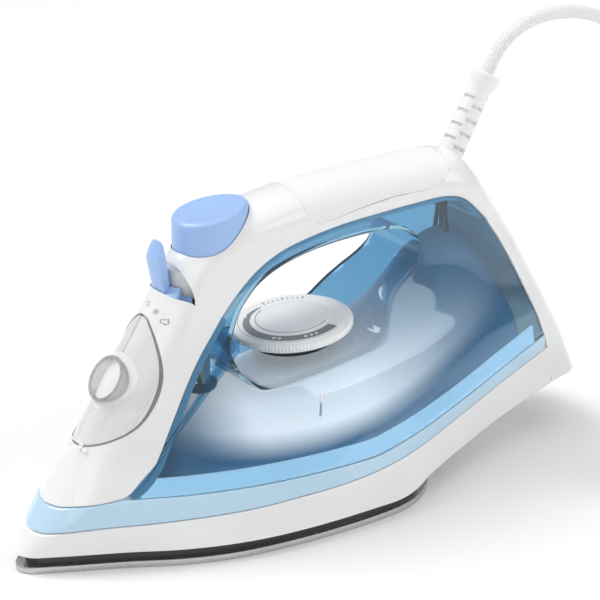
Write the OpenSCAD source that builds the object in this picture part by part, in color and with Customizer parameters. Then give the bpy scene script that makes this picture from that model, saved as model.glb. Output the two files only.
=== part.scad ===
// Steam iron with a see-through tank, built as an assembly of separate pieces.
// Millimetres. Z is up and z = 0 is the underside of the soleplate. The tip points
// to -X and the heel to +X. Shapes are drawn from the tip backwards, then moved by
// from_tip() so that X = 0 is half way along the iron.

/* [Overall] */
// Length from the tip to the heel
body_l = 306; // [300:1:312]
// Wall of the moulded shells
wall = 2.2; // [1.8:0.1:2.6]
// Play between a cover and the hole it sits in
play = 0.4; // [0.3:0.05:0.6]

/* [Soleplate] */
// Length of the soleplate
sole_l = 213; // [209:1:216]
// Thickness of the soleplate
sole_t = 3.2; // [2.6:0.1:3.6]
// Diameter of a steam hole
steam_hole_d = 3; // [2:0.5:4]

/* [Dial] */
// Diameter of the temperature dial
dial_d = 56; // [50:1:57]
// Number of ribs round the dial
dial_ribs = 72; // [48:4:84]
// Forward lean of the dial
dial_lean = 6; // [4:1:7]

/* [Controls] */
// Height of the button above its seat
button_h = 12; // [10:0.5:13]
// Height of the steam lever's tab
tab_h = 28; // [22:1:30]
// Diameter of the spray nozzle's clear ring
nozzle_d = 21.6; // [20:0.2:22]

/* [Cord] */
// Diameter of the mains cord
cord_d = 6.6; // [6:0.1:7]
// Rearward lean of the cord bush
bush_lean = 31; // [28:1:34]

/* [Hidden] */
$fn = 32;

// ---- Outer form -------------------------------------------------------------
// Height of the crest along the iron, from the tip over the handle to the heel.
crest = [[0, 8], [3, 12], [8.5, 20], [30, 50.6], [50, 79], [69, 106], [77, 117.5],
    [84, 127.5], [93, 136], [105, 141.5], [122, 146], [142, 149], [165, 150.5],
    [190, 151], [222, 151], [236, 149.5], [246, 141], [254, 130], [261, 120],
    [268, 110], [274, 100], [280, 90], [285, 80], [292, 67], [298, 55], [303, 45],
    [305.5, 36], [306, 31]];
// Height of the lower edge: level over the soleplate, then rising to the heel.
keel = [[0, 8], [165, 8], [181, 9], [190, 11], [207, 13], [227, 16], [247, 20],
    [264, 23], [285, 26.5], [298, 28], [303, 28.6], [306, 30]];
// Half width of the body at each station (columns) and height (rows).
at_x = [0, 20, 40, 60, 80, 100, 125, 150, 170, 190, 210, 235, 260, 285, 310];
at_z = [8, 22, 45, 65, 82, 100, 118, 132, 151];
half_w = [
    [5.5, 16.5, 27, 38.5, 47, 52.5, 56, 57.5, 57.5, 51.5, 44.5, 38, 33.5, 30, 28],
    [6, 17.5, 27.5, 36, 43, 48, 51.5, 53, 52, 48.5, 43.5, 38, 34, 30.5, 28],
    [6, 12, 17, 26, 33.5, 39.5, 44.5, 47, 47, 45, 42, 38, 34.5, 31, 28],
    [5, 9, 13, 20, 27, 32.5, 37.5, 40, 40, 38.5, 36.5, 34, 31.5, 28, 26],
    [5, 9, 13, 17, 21.5, 25, 28.5, 30, 30, 29, 28.5, 27.5, 26, 24, 22],
    [5, 9, 12, 14.5, 17.5, 19, 19.5, 19.5, 19.5, 20, 21.5, 23, 23, 22, 20],
    [5, 9, 11, 13, 15, 17, 17.5, 17.5, 17.5, 18, 19.5, 21, 21, 20, 19],
    [5, 9, 11, 13, 14.5, 17, 18.5, 19, 19, 19.5, 20.5, 21, 20, 19, 18],
    [5, 9, 11, 13, 14.5, 17, 18.5, 19, 19, 19.5, 20.5, 21, 20, 19, 18]];
// Depth below the crest over which the sides round in.
round_in = [[0, 6], [10, 10], [30, 20], [50, 25], [75, 24], [95, 14], [120, 12],
    [150, 13], [220, 14], [240, 20], [260, 26], [306, 30]];
// Half width of the soleplate.
sole_w = [[0, 4.5], [20, 15.5], [40, 26], [60, 37.5], [80, 46], [100, 51],
    [125, 54.5], [150, 56], [170, 55.6], [213, 55]];
// Crest of the white housing inside the tank, and the depth it rounds over.
dome_crest = [[62, 30], [66, 42], [74, 53], [88, 61], [105, 64.5], [125, 66.5], [150, 69.3],
    [172, 72], [184, 76], [200, 83], [210, 93], [218, 104], [226, 109.5], [237, 110.5],
    [246, 107], [254, 97], [262, 83.5], [270, 68], [277, 48]];

// Stations where the body is drawn, and fractions of the height of each section.
stations = [0.3, 2, 5, 9, 15, 22, 30, 40, 50, 60, 69, 77, 85, 93, 102, 112, 125, 140,
    155, 170, 185, 200, 215, 226, 236, 245, 253, 260, 267, 274, 281, 288, 294, 299,
    303, 305.7];
inner_stations = [6, 9, 15, 22, 30, 40, 50, 60, 69, 77, 85, 93, 102, 112, 125, 140,
    155, 170, 185, 200, 215, 226, 236, 245, 253, 260, 267, 274, 281, 288, 294, 299, 301];
rise = [0, 0.07, 0.15, 0.26, 0.4, 0.55, 0.69, 0.81, 0.9, 0.96, 0.99, 1];
dome_rise = [0, 0.2, 0.42, 0.62, 0.78, 0.9, 0.975, 1];

// ---- Side-view lines, from the tip backwards --------------------------------
// Between the white skirt and the blue shell.
skirt_line = [[-10, 17.6], [7, 18], [15, 19.6], [30, 20.8], [50, 21], [90, 21.2],
    [115, 21.8], [141, 22.3], [171, 24.3], [185, 26], [200, 28.5], [215, 31.4],
    [231, 35], [246, 39], [262, 43], [279, 47]];
// Between the blue shell and the white housing over it.
housing_line = [[-10, 29], [15, 29], [22, 30.3], [31, 31], [37, 31.6], [43, 33],
    [48, 35.5], [52, 38.6], [56, 43], [60, 49], [68, 63], [75, 75], [83, 86.5],
    [91, 95.5], [100, 105], [110, 114], [119, 120.3], [130, 125.5], [145, 129],
    [160, 131], [180, 132.2], [205, 133.5], [220, 133.5], [231, 130.5], [238, 125],
    [245, 118]];
// Between the blue shell and the rear cover, and on up to the cord bush.
heel_line = [[245, 118], [253, 106], [259, 95.5], [265, 84], [270, 72.5], [275, 60],
    [279, 47], [283.5, 28], [285, 15]];
// Between the soft grip and the housing.
grip_line = [[142, 160], [142, 137], [148, 134.5], [156, 134.6], [171, 137],
    [191, 139], [207, 139], [219, 141], [226, 147], [228, 160]];
// The hand gap.
gap = [[99, 86], [101, 92], [106, 100.5], [112, 107], [119, 112.5], [130, 117.3],
    [146, 121], [162, 122.6], [178, 123], [190, 122.4], [199, 120], [204.5, 115.5],
    [206.5, 110], [204.5, 104.8], [198, 100], [190.5, 95.5], [184.5, 90], [180.5, 84],
    [177.5, 79.5], [172, 76.4], [150, 74], [130, 71.9], [112, 70.4], [105, 73], [101, 78]];
// Front view of the clear door, right half, from the top down.
door_half = [[0, 104.5], [3, 104], [6, 102], [10, 98], [13.5, 93], [16.5, 87],
    [18.6, 80], [19.4, 72], [19, 64], [17.6, 59.5], [15, 56.3], [11.5, 54],
    [7, 52.6], [0, 52]];

// ---- Places of the moving pieces --------------------------------------------
crest_slope = 54.9;                     // slope of the nose's crest
nose_at = [49.3, 0, 78];                // where the nozzle's axis leaves the nose
lever_x = 93.5;                         // steam lever's axis
valve_x = 97;                           // dosing valve's axis
dial_at = [147, 0, 84];                 // middle of the dial's top face
button_x = 103.5;                       // middle of the button
pump_x = 104;                           // spray pump's axis
ball_at = [234.8, 0, 138];              // middle of the cord bush's ball
ball_d = 15;
bush_l = 50.5;                            // from the ball's middle to the bush's end
hinge_at = [32.2, 0, 51.2];             // door's hinge pin

// ---- Mains cord, in the iron's own frame -------------------------------------
cord_route = [[107.8, 0, 181.3], [113, 0, 190.5], [121, 0, 198], [132, 0, 203],
    [145, 0, 205], [160, 0, 204.5], [175, 0, 201], [190, 0, 194.5], [204, -1, 184],
    [216, -3, 169], [225, -6, 150], [232, -9, 128], [238, -12, 105], [243, -15, 82],
    [248, -18, 60], [254, -22, 40], [262, -28, 25], [270, -37, 15]];
coil_at = [238, -62, 0];                // middle of the coil on the floor
coil_r = 38;                            // radius at the middle of the bundle
coil_w = 20;                            // width of the bundle
coil_h = 13.4;                          // height of the bundle
lead_route = [[222, -110.3, 5.5], [212, -111.5, 8], [203, -112, 12.5], [194, -112, 17],
    [185, -112, 18.5], [176, -112, 18.5]];
plug_at = [176, -112, 18.5];
plug_turn = 180;                        // heading of the plug from +X

// ---- Colours ------------------------------------------------------------------
white = [0.93, 0.93, 0.94];
tank_blue = [0.25, 0.47, 0.65, 0.6];
trim_blue = [0.52, 0.65, 0.90];
clear = [0.85, 0.88, 0.90, 0.4];
steel = [0.75, 0.76, 0.78];
dark = [0.18, 0.18, 0.20];
pale_grey = [0.80, 0.80, 0.81];
brass_c = [0.80, 0.65, 0.30];

// ---- Curves -------------------------------------------------------------------
// Index of the table's interval that holds v.
function slot_of(t, v) = max([for (k = [0:len(t) - 2]) if (t[k][0] <= v) k]);
function slope_at(t, k) =
    k == 0 ? (t[1][1] - t[0][1]) / (t[1][0] - t[0][0]) :
    k == len(t) - 1 ? (t[k][1] - t[k - 1][1]) / (t[k][0] - t[k - 1][0]) :
    (t[k + 1][1] - t[k - 1][1]) / (t[k + 1][0] - t[k - 1][0]);
function ease(a, b, m, n, h, u) = (2 * pow(u, 3) - 3 * u * u + 1) * a
    + (pow(u, 3) - 2 * u * u + u) * m * h + (3 * u * u - 2 * pow(u, 3)) * b
    + (pow(u, 3) - u * u) * n * h;
// Smooth curve through a table of [place, value] rows.
function curve(t, v) = v <= t[0][0] ? t[0][1] : v >= t[len(t) - 1][0] ? t[len(t) - 1][1] :
    let (k = slot_of(t, v), h = t[k + 1][0] - t[k][0])
    ease(t[k][1], t[k + 1][1], slope_at(t, k), slope_at(t, k + 1), h, (v - t[k][0]) / h);
function row_curve(row, x) = curve([for (i = [0:len(at_x) - 1]) [at_x[i], row[i]]], x);
// Half widths of one station as a table over height.
function width_table(x) = [for (j = [0:len(at_z) - 1]) [at_z[j], row_curve(half_w[j], x)]];
// Quarter-round that closes a section: 0 at its top, 1 from depth 1 down.
function cap(t) = t <= 0 ? 0 : t >= 1 ? 1 : sqrt(1 - (1 - t) * (1 - t));
function crest_lean(x) = sqrt(1 + pow((curve(crest, x + 1) - curve(crest, x - 1)) / 2, 2));
function unit(v) = v / norm(v);

// ---- Solids from sections ------------------------------------------------------
// One section of the body at x, lying inset mm inside the outer form and reaching
// drop mm below the lower edge.
function body_section(x, inset, drop) =
    let (w = width_table(x), top = curve(crest, x) - inset * crest_lean(x),
         low = curve(keel, x) - drop, c = curve(round_in, x),
         side = [for (r = rise) let (z = low + (top - low) * r)
             [(curve(w, z) - inset) * cap((top - z) / c), z]])
    [for (p = side) [x, -p[0], p[1]],
     for (k = [len(side) - 2:-1:0]) [x, side[k][0], side[k][1]]];
// Closed solid through rings of points, all with the same count.
module skin(rings) {
    n = len(rings[0]);
    m = len(rings);
    polyhedron(points = [for (r = rings) for (p = r) p],
        faces = [[for (j = [n - 1:-1:0]) j],
            [for (j = [0:n - 1]) (m - 1) * n + j],
            for (i = [0:m - 2]) for (j = [0:n - 1])
                let (a = i * n + j, b = i * n + (j + 1) % n) [a, b, b + n, a + n]],
        convexity = 8);
}
// Makes one mesh of a shell that is cut many times; resize keeps its size.
module shell_mesh() { resize([0, 0, 0]) children(); }
module from_tip() { translate([-body_l / 2, 0, 0]) children(); }
module outer_form() { skin([for (x = stations) body_section(x, 0, 0)]); }
module inner_form(inset, drop = 6) {
    skin([for (x = inner_stations)
        if (curve(crest, x) - inset * crest_lean(x) > curve(keel, x) + 1)
            body_section(x, inset, drop)]);
}
// Side-view outline carried right across the iron.
module across(outline) {
    translate([0, 90, 0]) rotate([90, 0, 0]) linear_extrude(180) polygon(outline);
}
module gap_across(grow) {
    translate([0, 90, 0]) rotate([90, 0, 0]) linear_extrude(180) offset(delta = grow) polygon(gap);
}
// Front-view outline of the door carried back from the tip.
module door_view(grow, x0 = -5, x1 = 76) {
    translate([x0, 0, 0]) rotate([90, 0, 90]) linear_extrude(x1 - x0)
        offset(delta = grow) polygon(concat(door_half,
            [for (k = [len(door_half) - 2:-1:1]) [-door_half[k][0], door_half[k][1]]]));
}
function reversed(t) = [for (k = [len(t) - 1:-1:0]) t[k]];
function shifted(t, dx, dz) = [for (p = t) p + [dx, dz]];
// Plan outline of the soleplate, drawn in by inset mm.
function sole_side(inset) = let (l = sole_l - 2 * inset)
    [for (k = [0:44]) let (u = (1 - cos(k * 180 / 44)) / 2, x = inset * 1.8 + u * (sole_l - inset * 2.8))
        [x, max(0, (curve(sole_w, x) - inset) * cap((x - inset * 1.8) / 4)
            * cap((sole_l - inset - x) / 49))]];
module sole_outline(inset = 0) {
    s = sole_side(inset);
    polygon(concat([for (p = s) [p[0], -p[1]]], [for (k = [len(s) - 2:-1:1]) s[k]]));
}
// Round tube along a route; flat is a direction that the route never takes.
function tangent(t, k) = unit(t[min(k + 1, len(t) - 1)] - t[max(k - 1, 0)]);
function hoop(t, k, r, sides, flat) =
    let (d = tangent(t, k), a = unit(cross(d, flat)), b = cross(d, a))
    [for (j = [0:sides - 1]) t[k] + r * (cos(j * 360 / sides) * a + sin(j * 360 / sides) * b)];
function smooth_route(t, steps) = [for (k = [0:len(t) - 2]) for (s = [0:steps - 1])
        let (u = s / steps, m = (t[k + 1] - t[max(k - 1, 0)]) / (k == 0 ? 1 : 2),
             n = (t[min(k + 2, len(t) - 1)] - t[k]) / (k == len(t) - 2 ? 1 : 2))
        (2 * pow(u, 3) - 3 * u * u + 1) * t[k] + (pow(u, 3) - 2 * u * u + u) * m
        + (3 * u * u - 2 * pow(u, 3)) * t[k + 1] + (pow(u, 3) - u * u) * n,
    t[len(t) - 1]];
module tube_along(t, d, sides = 10, flat = [0, 1, 0]) {
    skin([for (k = [0:len(t) - 1]) reversed(hoop(t, k, d / 2, sides, flat))]);
}
// Frames that lean with the pieces they carry.
module on_dial() { translate(dial_at) rotate([0, -dial_lean, 0]) children(); }
module on_nose() { translate(nose_at) rotate([0, -crest_slope, 0]) children(); }
module on_bush() { translate(ball_at) rotate([0, bush_lean, 0]) children(); }
module ring(od, id, h) {
    difference() {
        cylinder(d = od, h = h);
        translate([0, 0, -1]) cylinder(d = id, h = h + 2);
    }
}
module screw(head_d, head_h, shank_d, shank_l) {
    difference() {
        cylinder(d = head_d, h = head_h);
        translate([-head_d / 3, -0.4, head_h - 0.7]) cube([head_d / 1.5, 0.8, 1]);
        translate([-0.4, -head_d / 3, head_h - 0.7]) cube([0.8, head_d / 1.5, 1]);
    }
    translate([0, 0, -shank_l]) cylinder(d = shank_d, h = shank_l);
}

// ---- Soleplate and heating --------------------------------------------------------
chamber_top = 17;
cover_t = 1.4;
screw_spots = [[50, 0], [92, 20], [92, -20], [150, 28], [150, -28], [186, 16], [186, -16]];
// Steam holes follow the edge of the soleplate in two arcs and one short row.
function hole_spots() = concat(
    [for (x = [34:12:154]) for (s = [-1, 1]) [x, s * (curve(sole_w, x) * 0.66 - 3)]],
    [for (x = [60:14:116]) for (s = [-1, 1]) [x, s * (curve(sole_w, x) * 0.38 - 2)]],
    [[24, 0], [34, 0], [46, 6], [46, -6]]);

module soleplate() {
    color(steel) from_tip() difference() {
        union() {
            linear_extrude(0.8) sole_outline(0.8);
            translate([0, 0, 0.8]) linear_extrude(1.6) sole_outline(0);
            translate([0, 0, 2.4]) linear_extrude(sole_t - 2.4) sole_outline(1.2);
        }
        for (p = hole_spots()) translate([p[0], p[1], -1]) cylinder(d = steam_hole_d, h = 6);
    }
}
module steam_chamber() {
    color(steel) from_tip() difference() {
        union() {
            translate([0, 0, sole_t]) linear_extrude(5.8) sole_outline(9);
            translate([0, 0, sole_t]) linear_extrude(chamber_top - sole_t) chamber_outline(0);
        }
        translate([0, 0, 6.4]) linear_extrude(20) difference() {
            chamber_outline(3);
            for (x = [78, 104, 130]) translate([x, x == 104 ? -24 : -4]) square([3, 28]);
            for (p = screw_spots) translate(p) circle(d = 8);
        }
        for (p = hole_spots()) translate([p[0], p[1], 0]) cylinder(d = steam_hole_d, h = 8);
        for (p = screw_spots) translate([p[0], p[1], 8]) cylinder(d = 3, h = 12);
    }
}
// Plan outline of the raised steam chamber.
module chamber_outline(inset) {
    offset(delta = -inset) polygon([[40, -5], [58, -14], [80, -24], [110, -32], [150, -35],
        [176, -30], [194, -18], [198, 0], [194, 18], [176, 30], [150, 35], [110, 32],
        [80, 24], [58, 14], [40, 5]]);
}
module chamber_cover() {
    color(steel) from_tip() translate([0, 0, chamber_top]) difference() {
        linear_extrude(cover_t) chamber_outline(0.5);
        for (p = screw_spots) translate([p[0], p[1], -1]) cylinder(d = 3.4, h = 4);
        translate([valve_x, 0, -1]) cylinder(d = 6, h = 4);
    }
}
module chamber_screws() {
    color(steel) from_tip() for (p = screw_spots)
        translate([p[0], p[1], chamber_top + cover_t]) screw(6, 1.8, 2.9, 8);
}
// Tube heater bent round the chamber, lying on its ledge.
heater_z = 12.4;
heater_side = [[174, 42.4], [150, 42.2], [125, 40.5], [100, 35.5], [78, 28.6], [60, 21.5],
    [50, 16.8], [41, 11], [36, 4.4]];
heater_route = concat([for (p = heater_side) [p[0], p[1], heater_z]], [[35, 0, heater_z]],
    [for (p = reversed(heater_side)) [p[0], -p[1], heater_z]]);
module heating_element() {
    color(dark) from_tip() tube_along(smooth_route(heater_route, 2), 6.4, 10, [0, 0, 1]);
}
module element_terminals() {
    color(white) from_tip() for (s = [-1, 1]) translate([174.1, s * 42.4, heater_z]) {
        rotate([0, 90, 0]) cylinder(d = 6.6, h = 5);
        translate([5, -1.2, -0.4]) cube([5, 2.4, 0.8]);
    }
}
module thermostat() {
    base_z = chamber_top + cover_t;
    color(pale_grey) from_tip() difference() {
        union() {
            translate([140, -9, base_z]) cube([26, 18, 3]);
            translate([144, -6, base_z + 3]) cube([8, 12, 7]);
            translate([144, -4, base_z + 10]) cube([20, 8, 1.2]);
            on_dial() translate([0, 0, -62]) cylinder(d = 11, h = 12);
        }
        on_dial() translate([0, 0, -59]) cylinder(d = 6.1, h = 12);
    }
}
module thermal_fuse() {
    color(brass_c) from_tip() translate([112, 14, chamber_top + cover_t + 3.1]) {
        rotate([0, 90, 0]) cylinder(d = 6, h = 16);
        translate([-6, 0, 0]) rotate([0, 90, 0]) cylinder(d = 1.4, h = 28);
    }
}
module heat_shield() {
    color(dark) from_tip() translate([0, 0, sole_t]) difference() {
        union() {
            linear_extrude(7.9 - sole_t) sole_outline(2.6);
            linear_extrude(9.1 - sole_t) intersection() {
                sole_outline(2.6);
                translate([187, -60]) square([40, 120]);
            }
        }
        translate([0, 0, -1]) linear_extrude(10) sole_outline(5.4);
    }
}

// ---- Body shells ------------------------------------------------------------------
module base_plate() {
    low = [[192, 11.4], [207, 13], [227, 16], [247, 20], [264, 23], [281.5, 25.9]];
    slab = concat(shifted(low, 0, 0.4), reversed(shifted(low, 0, 2.6)));
    color(white) from_tip() shell_mesh() difference() {
        intersection() {
            inner_form(wall + 0.3);
            union() {
                across(slab);
                across([[10, 9.2], [192, 9.2], [192, 14], [190, 14], [188, 11.2], [10, 11.2]]);
            }
        }
        translate([0, 0, 5]) linear_extrude(10) sole_outline(7.6);
        translate([165, -48, 5]) cube([21, 96, 10]);
        for (s = [-1, 1]) translate([262, s * 18, 15]) cylinder(d = 4.2, h = 20, $fn = 20);
    }
}
module base_screws() {
    color(steel) from_tip() for (s = [-1, 1])
        translate([262, s * 18, 22.2]) rotate([180, 0, 0]) screw(6, 1.8, 2.9, 5);
}
module skirt() {
    low_zone = concat([[-10, 0]], skirt_line, [[283.5, 28], [285, 15], [285, 0]]);
    color(white) from_tip() shell_mesh() intersection() {
        difference() { outer_form(); inner_form(wall); }
        across(low_zone);
    }
}
// The tank is moulded in four pieces and welded: one below the hand gap, one in front of
// it, one under the grip and one behind it.
module tank_piece(zone) {
    body = concat(shifted(skirt_line, 0, 0.1), reversed(concat(housing_line,
        [for (k = [1:5]) heel_line[k]])));
    color(tank_blue) from_tip() shell_mesh() intersection() {
        difference() {
            outer_form();
            gap_across(0);
            difference() { inner_form(wall); gap_across(2); }
            on_dial() translate([0, 0, -20]) cylinder(d = 11, h = 15);
        }
        across(body);
        across(zone);
    }
}
weld_z = 80;
module tank_shell() { tank_piece([[-20, 0], [300, 0], [300, weld_z], [-20, weld_z]]); }
module tank_neck() { tank_piece([[50, weld_z], [118, weld_z], [118, 140], [50, 140]]); }
module grip_liner() { tank_piece([[118, 106], [192, 106], [192, 140], [118, 140]]); }
module tank_back() {
    tank_piece([[150, weld_z], [290, weld_z], [290, 140], [192, 140], [192, 106], [150, 106]]);
}
module tank_seal() {
    color(dark) from_tip() shell_mesh() intersection() {
        difference() { inner_form(wall + 0.3); inner_form(wall + 3.3); }
        across(concat(shifted(tail(skirt_line), 0, -1.2), reversed(shifted(tail(skirt_line), 0, 1.2))));
    }
}
function tail(t) = [for (p = t) if (p[0] > 55) p];
// White housing under the water: it covers the heater and carries the dial's tube.
function dome_section(x, inset) =
    let (w = width_table(x), top = curve(dome_crest, x) - inset, low = curve(keel, x) + 12 - inset * 2,
         side = [for (r = dome_rise) let (z = low + (top - low) * r)
             [(min(curve(w, z), curve(w, low) - 2) - 7 - inset) * cap((top - z) / 26)
                * cap((x - 59 - inset) / 22) * cap((281 - inset - x) / 20), z]])
    [for (p = side) [x, -p[0], p[1]],
     for (k = [len(side) - 2:-1:0]) [x, side[k][0], side[k][1]]];
dome_x = [62, 66, 72, 80, 90, 102, 116, 132, 150, 168, 184, 200, 216, 232, 246, 257, 266, 273, 277];
module inner_dome() {
    color(white) from_tip() shell_mesh() difference() {
        skin([for (x = dome_x) dome_section(x, 0)]);
        skin([for (x = dome_x) if (x > 63 && x < 276) dome_section(x, 1.6)]);
        on_dial() translate([0, 0, -40]) cylinder(d = 9.6, h = 36);
        translate([valve_x, 0, 10]) rotate([0, 0, 5]) cylinder(d = 14.8, h = 80);
        translate([230, -9.6, 100]) cube([10, 19.2, 16]);
    }
}
module tank_lid() {
    path = [for (p = housing_line) if (p[0] > 30) p];
    color(white) from_tip() shell_mesh() difference() {
        intersection() {
            inner_form(wall + 0.3);
            across(concat(shifted(path, 1.4, -0.5), reversed(shifted(path, 2.9, -2.6))));
        }
        gap_across(2.4);
        translate([lever_x, 0, 70]) cylinder(d = 6, h = 60);
        translate([94.3, -10.8, 88]) cylinder(d = 8.4, h = 20);
        on_nose() translate([8, 0, -80]) cylinder(d = 13, h = 80);
        translate([225, -10.5, 112]) cube([20, 21, 30]);
    }
}
module level_mark() {
    color(white) from_tip() shell_mesh() intersection() {
        difference() { skin([for (x = [122, 128, 134, 140, 146]) body_section(x, -0.25, 0)]);
            skin([for (x = [120, 128, 134, 140, 148]) body_section(x, 0.05, 2)]); }
        across([[131.6, 54], [132.7, 54], [135.4, 63], [134.3, 63]]);
        translate([100, -80, 0]) cube([60, 80, 120]);
    }
}
module handle_housing() {
    zone = concat(shifted(housing_line, 0, 0.1), [[236, 134], [230, 150], [229, 170],
        [-20, 170], [-20, 29.1]]);
    color(white) from_tip() shell_mesh() difference() {
        intersection() {
            difference() { outer_form(); inner_form(wall); }
            across(zone);
        }
        across(grip_line);
        gap_across(0);
        door_view(0);
        translate([20, -5.6, 49.3]) cube([15, 11.2, 4]);
        button_hole(play);
        lever_slot();
    }
}
module grip_top() {
    color(pale_grey) from_tip() shell_mesh() intersection() {
        difference() { outer_form(); inner_form(wall + 0.2); }
        across(shifted_in(grip_line));
    }
}
// Grip outline drawn in by the play round it.
function shifted_in(t) = [for (p = t) [p[0] + (p[0] < 185 ? 0.25 : -0.25), p[1] + 0.2]];
module rear_cover() {
    color(white) from_tip() shell_mesh() difference() {
        intersection() {
            difference() { outer_form(); inner_form(wall, -2.2); }
            across(concat([[229.2, 170], [230.2, 150], [236.2, 134]], shifted(heel_line, 0.15, 0.1),
                [[320, 15], [320, 170]]));
        }
        bush_hole();
        for (s = [-1, 1]) translate([290, s * 12, 20]) cylinder(d = 3.8, h = 12, $fn = 16);
    }
}
// Room for the bush to swing from side to side.
module bush_hole() {
    for (a = [-32:16:32]) translate(ball_at) rotate([0, 0, a]) rotate([0, bush_lean, 0])
        cylinder(d = 14.6, h = 30, $fn = 24);
    translate(ball_at) sphere(d = ball_d + 0.8, $fn = 24);
}
module rear_screws() {
    color(steel) from_tip() for (s = [-1, 1]) translate([290, s * 12, 26.5])
        rotate([180, 0, 0]) screw(6, 1.8, 2.9, 5);
}

// ---- Filler door and nozzle ----------------------------------------------------------
module door() {
    color(clear) from_tip() shell_mesh() difference() {
        intersection() {
            difference() { outer_form(); inner_form(1.8); }
            door_view(-0.35);
        }
        on_nose() translate([0, 0, -12]) cylinder(d = nozzle_d + 2.4, h = 24);
        translate(hinge_at + [-3, -5.4, -3]) cube([6, 10.8, 3.6]);
    }
}
module door_knuckle() {
    color(clear) from_tip() translate(hinge_at) rotate([90, 0, 0])
        translate([0, 0, -5]) difference() {
            union() {
                cylinder(d = 3.2, h = 10);
                translate([-0.4, 0, 0]) cube([1.6, 2.4, 10]);
            }
            translate([0, 0, -1]) cylinder(d = 1.9, h = 12);
        }
}
module door_pin() {
    color(steel) from_tip() translate(hinge_at) rotate([90, 0, 0])
        cylinder(d = 1.8, h = 15, center = true);
}
funnel_in = 10;
module funnel() {
    color(white) from_tip() shell_mesh() difference() {
        intersection() {
            difference() { inner_form(wall + 0.5); inner_form(funnel_in + 1.6); }
            door_view(1.8, -5, 84);
            across([[0, 40], [46, 40], [60, 62], [71, 82], [77, 98], [77.5, 112], [0, 112]]);
        }
        difference() { door_view(0.3, -6, 84); inner_form(funnel_in); }
        on_nose() translate([8, 0, -40]) cylinder(d = 11, h = 60);
        on_nose() translate([-5, 0, -40]) cylinder(d = 5.4, h = 60);
        translate([24, -6, 46]) cube([14, 12, 7.5]);
    }
}
module filler_pipe() {
    color(white) from_tip() on_nose() translate([8, 0, -35.5]) ring(12.6, 10.8, 19);
}
module nozzle_base() {
    color(pale_grey) from_tip() on_nose() translate([0, 0, -9.9]) difference() {
        cylinder(d = 22, h = 1.8);
        translate([8, 0, -1]) cylinder(d = 5, h = 4);
        translate([-5, 0, -1]) cylinder(d = 4.2, h = 4);
    }
}
module nozzle_ring() {
    color(clear) from_tip() on_nose() translate([0, 0, -8]) ring(nozzle_d, nozzle_d - 4, 10.5);
}
module nozzle_core() {
    color(pale_grey) from_tip() on_nose() translate([0, 0, -8]) difference() {
        cylinder(d = nozzle_d - 4.3, h = 5.4);
        translate([-3, 0, 3]) cylinder(d = 2, h = 4);
        for (a = [0:60:300]) rotate([0, 0, a]) translate([5.6, 0, 4.6]) cylinder(d = 0.9, h = 2);
        translate([0, 0, 4.6]) ring(8, 7, 2);
    }
}
module spray_hose() {
    color(clear) from_tip() tube_along(smooth_route([[56, 0, 67.4], [60, 3, 65.6],
        [66, 7, 68], [75, 9, 80], [86, 9.5, 96], [94, 9.5, 102], [95.5, 9.5, 108],
        [96, 8.5, 114], [97.5, 5.5, 119.2]], 2), 3.6, 8);
}

// ---- Spray pump and button -----------------------------------------------------------
pump_base = 119.5;
pump_h = 9.5;
module spray_pump() {
    color(white) from_tip() translate([pump_x, 0, pump_base]) difference() {
        union() {
            cylinder(d = 15, h = pump_h);
            cylinder(d = 18, h = 1.6);
        }
        translate([0, 0, 2.4]) cylinder(d = 7.1, h = pump_h);
    }
}
module suction_hose() {
    color(clear) from_tip() tube_along(smooth_route([[102, -6, 118.6], [98, -8.5, 113.5],
        [95.8, -10, 109], [95, -10.5, 104], [94.3, -10.8, 97], [91.5, -13, 86],
        [89, -16, 72]], 2), 3.6, 8);
}
// Plan outline of the button.
module button_plan(grow = 0) {
    offset(delta = grow) polygon([for (a = [0:10:350])
        [button_x + 17.6 * cos(a), 15.4 * sin(a) * (1 - 0.1 * cos(a))]]);
}
module button_hole(grow) {
    translate([0, 0, 124]) linear_extrude(60) button_plan(grow);
}
button_top = [[80, 141.8], [126, 149.4]];
module button() {
    color(trim_blue) from_tip() shell_mesh() difference() {
        intersection() {
            union() {
                translate([0, 0, 128.4]) linear_extrude(21.6) button_plan(-1.6);
                translate([0, 0, 128.4]) linear_extrude(18.8) button_plan(0);
            }
            across([[80, 120], button_top[0], button_top[1], [126, 120]]);
        }
        translate([0, 0, 120]) linear_extrude(19) button_plan(-2.2);
    }
}
module pump_piston() {
    color(white) from_tip() translate([pump_x, 0, 0]) {
        translate([0, 0, 127]) cylinder(d = 7, h = 10.4);
        translate([0, 0, 137.2]) cylinder(d = 12, h = 1.8);
    }
}
// Coil spring between the pump and the piston's flange.
spring_low = pump_base + pump_h;
module pump_spring() {
    turns = 3;
    color(steel) from_tip() tube_along([for (k = [0:turns * 14]) let (a = k * 360 / 14)
        [pump_x + 5 * cos(a), 5 * sin(a), spring_low + 0.5 + k * (7.2 / (turns * 14))]],
        0.9, 6, [0, 0, 1]);
}

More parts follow.
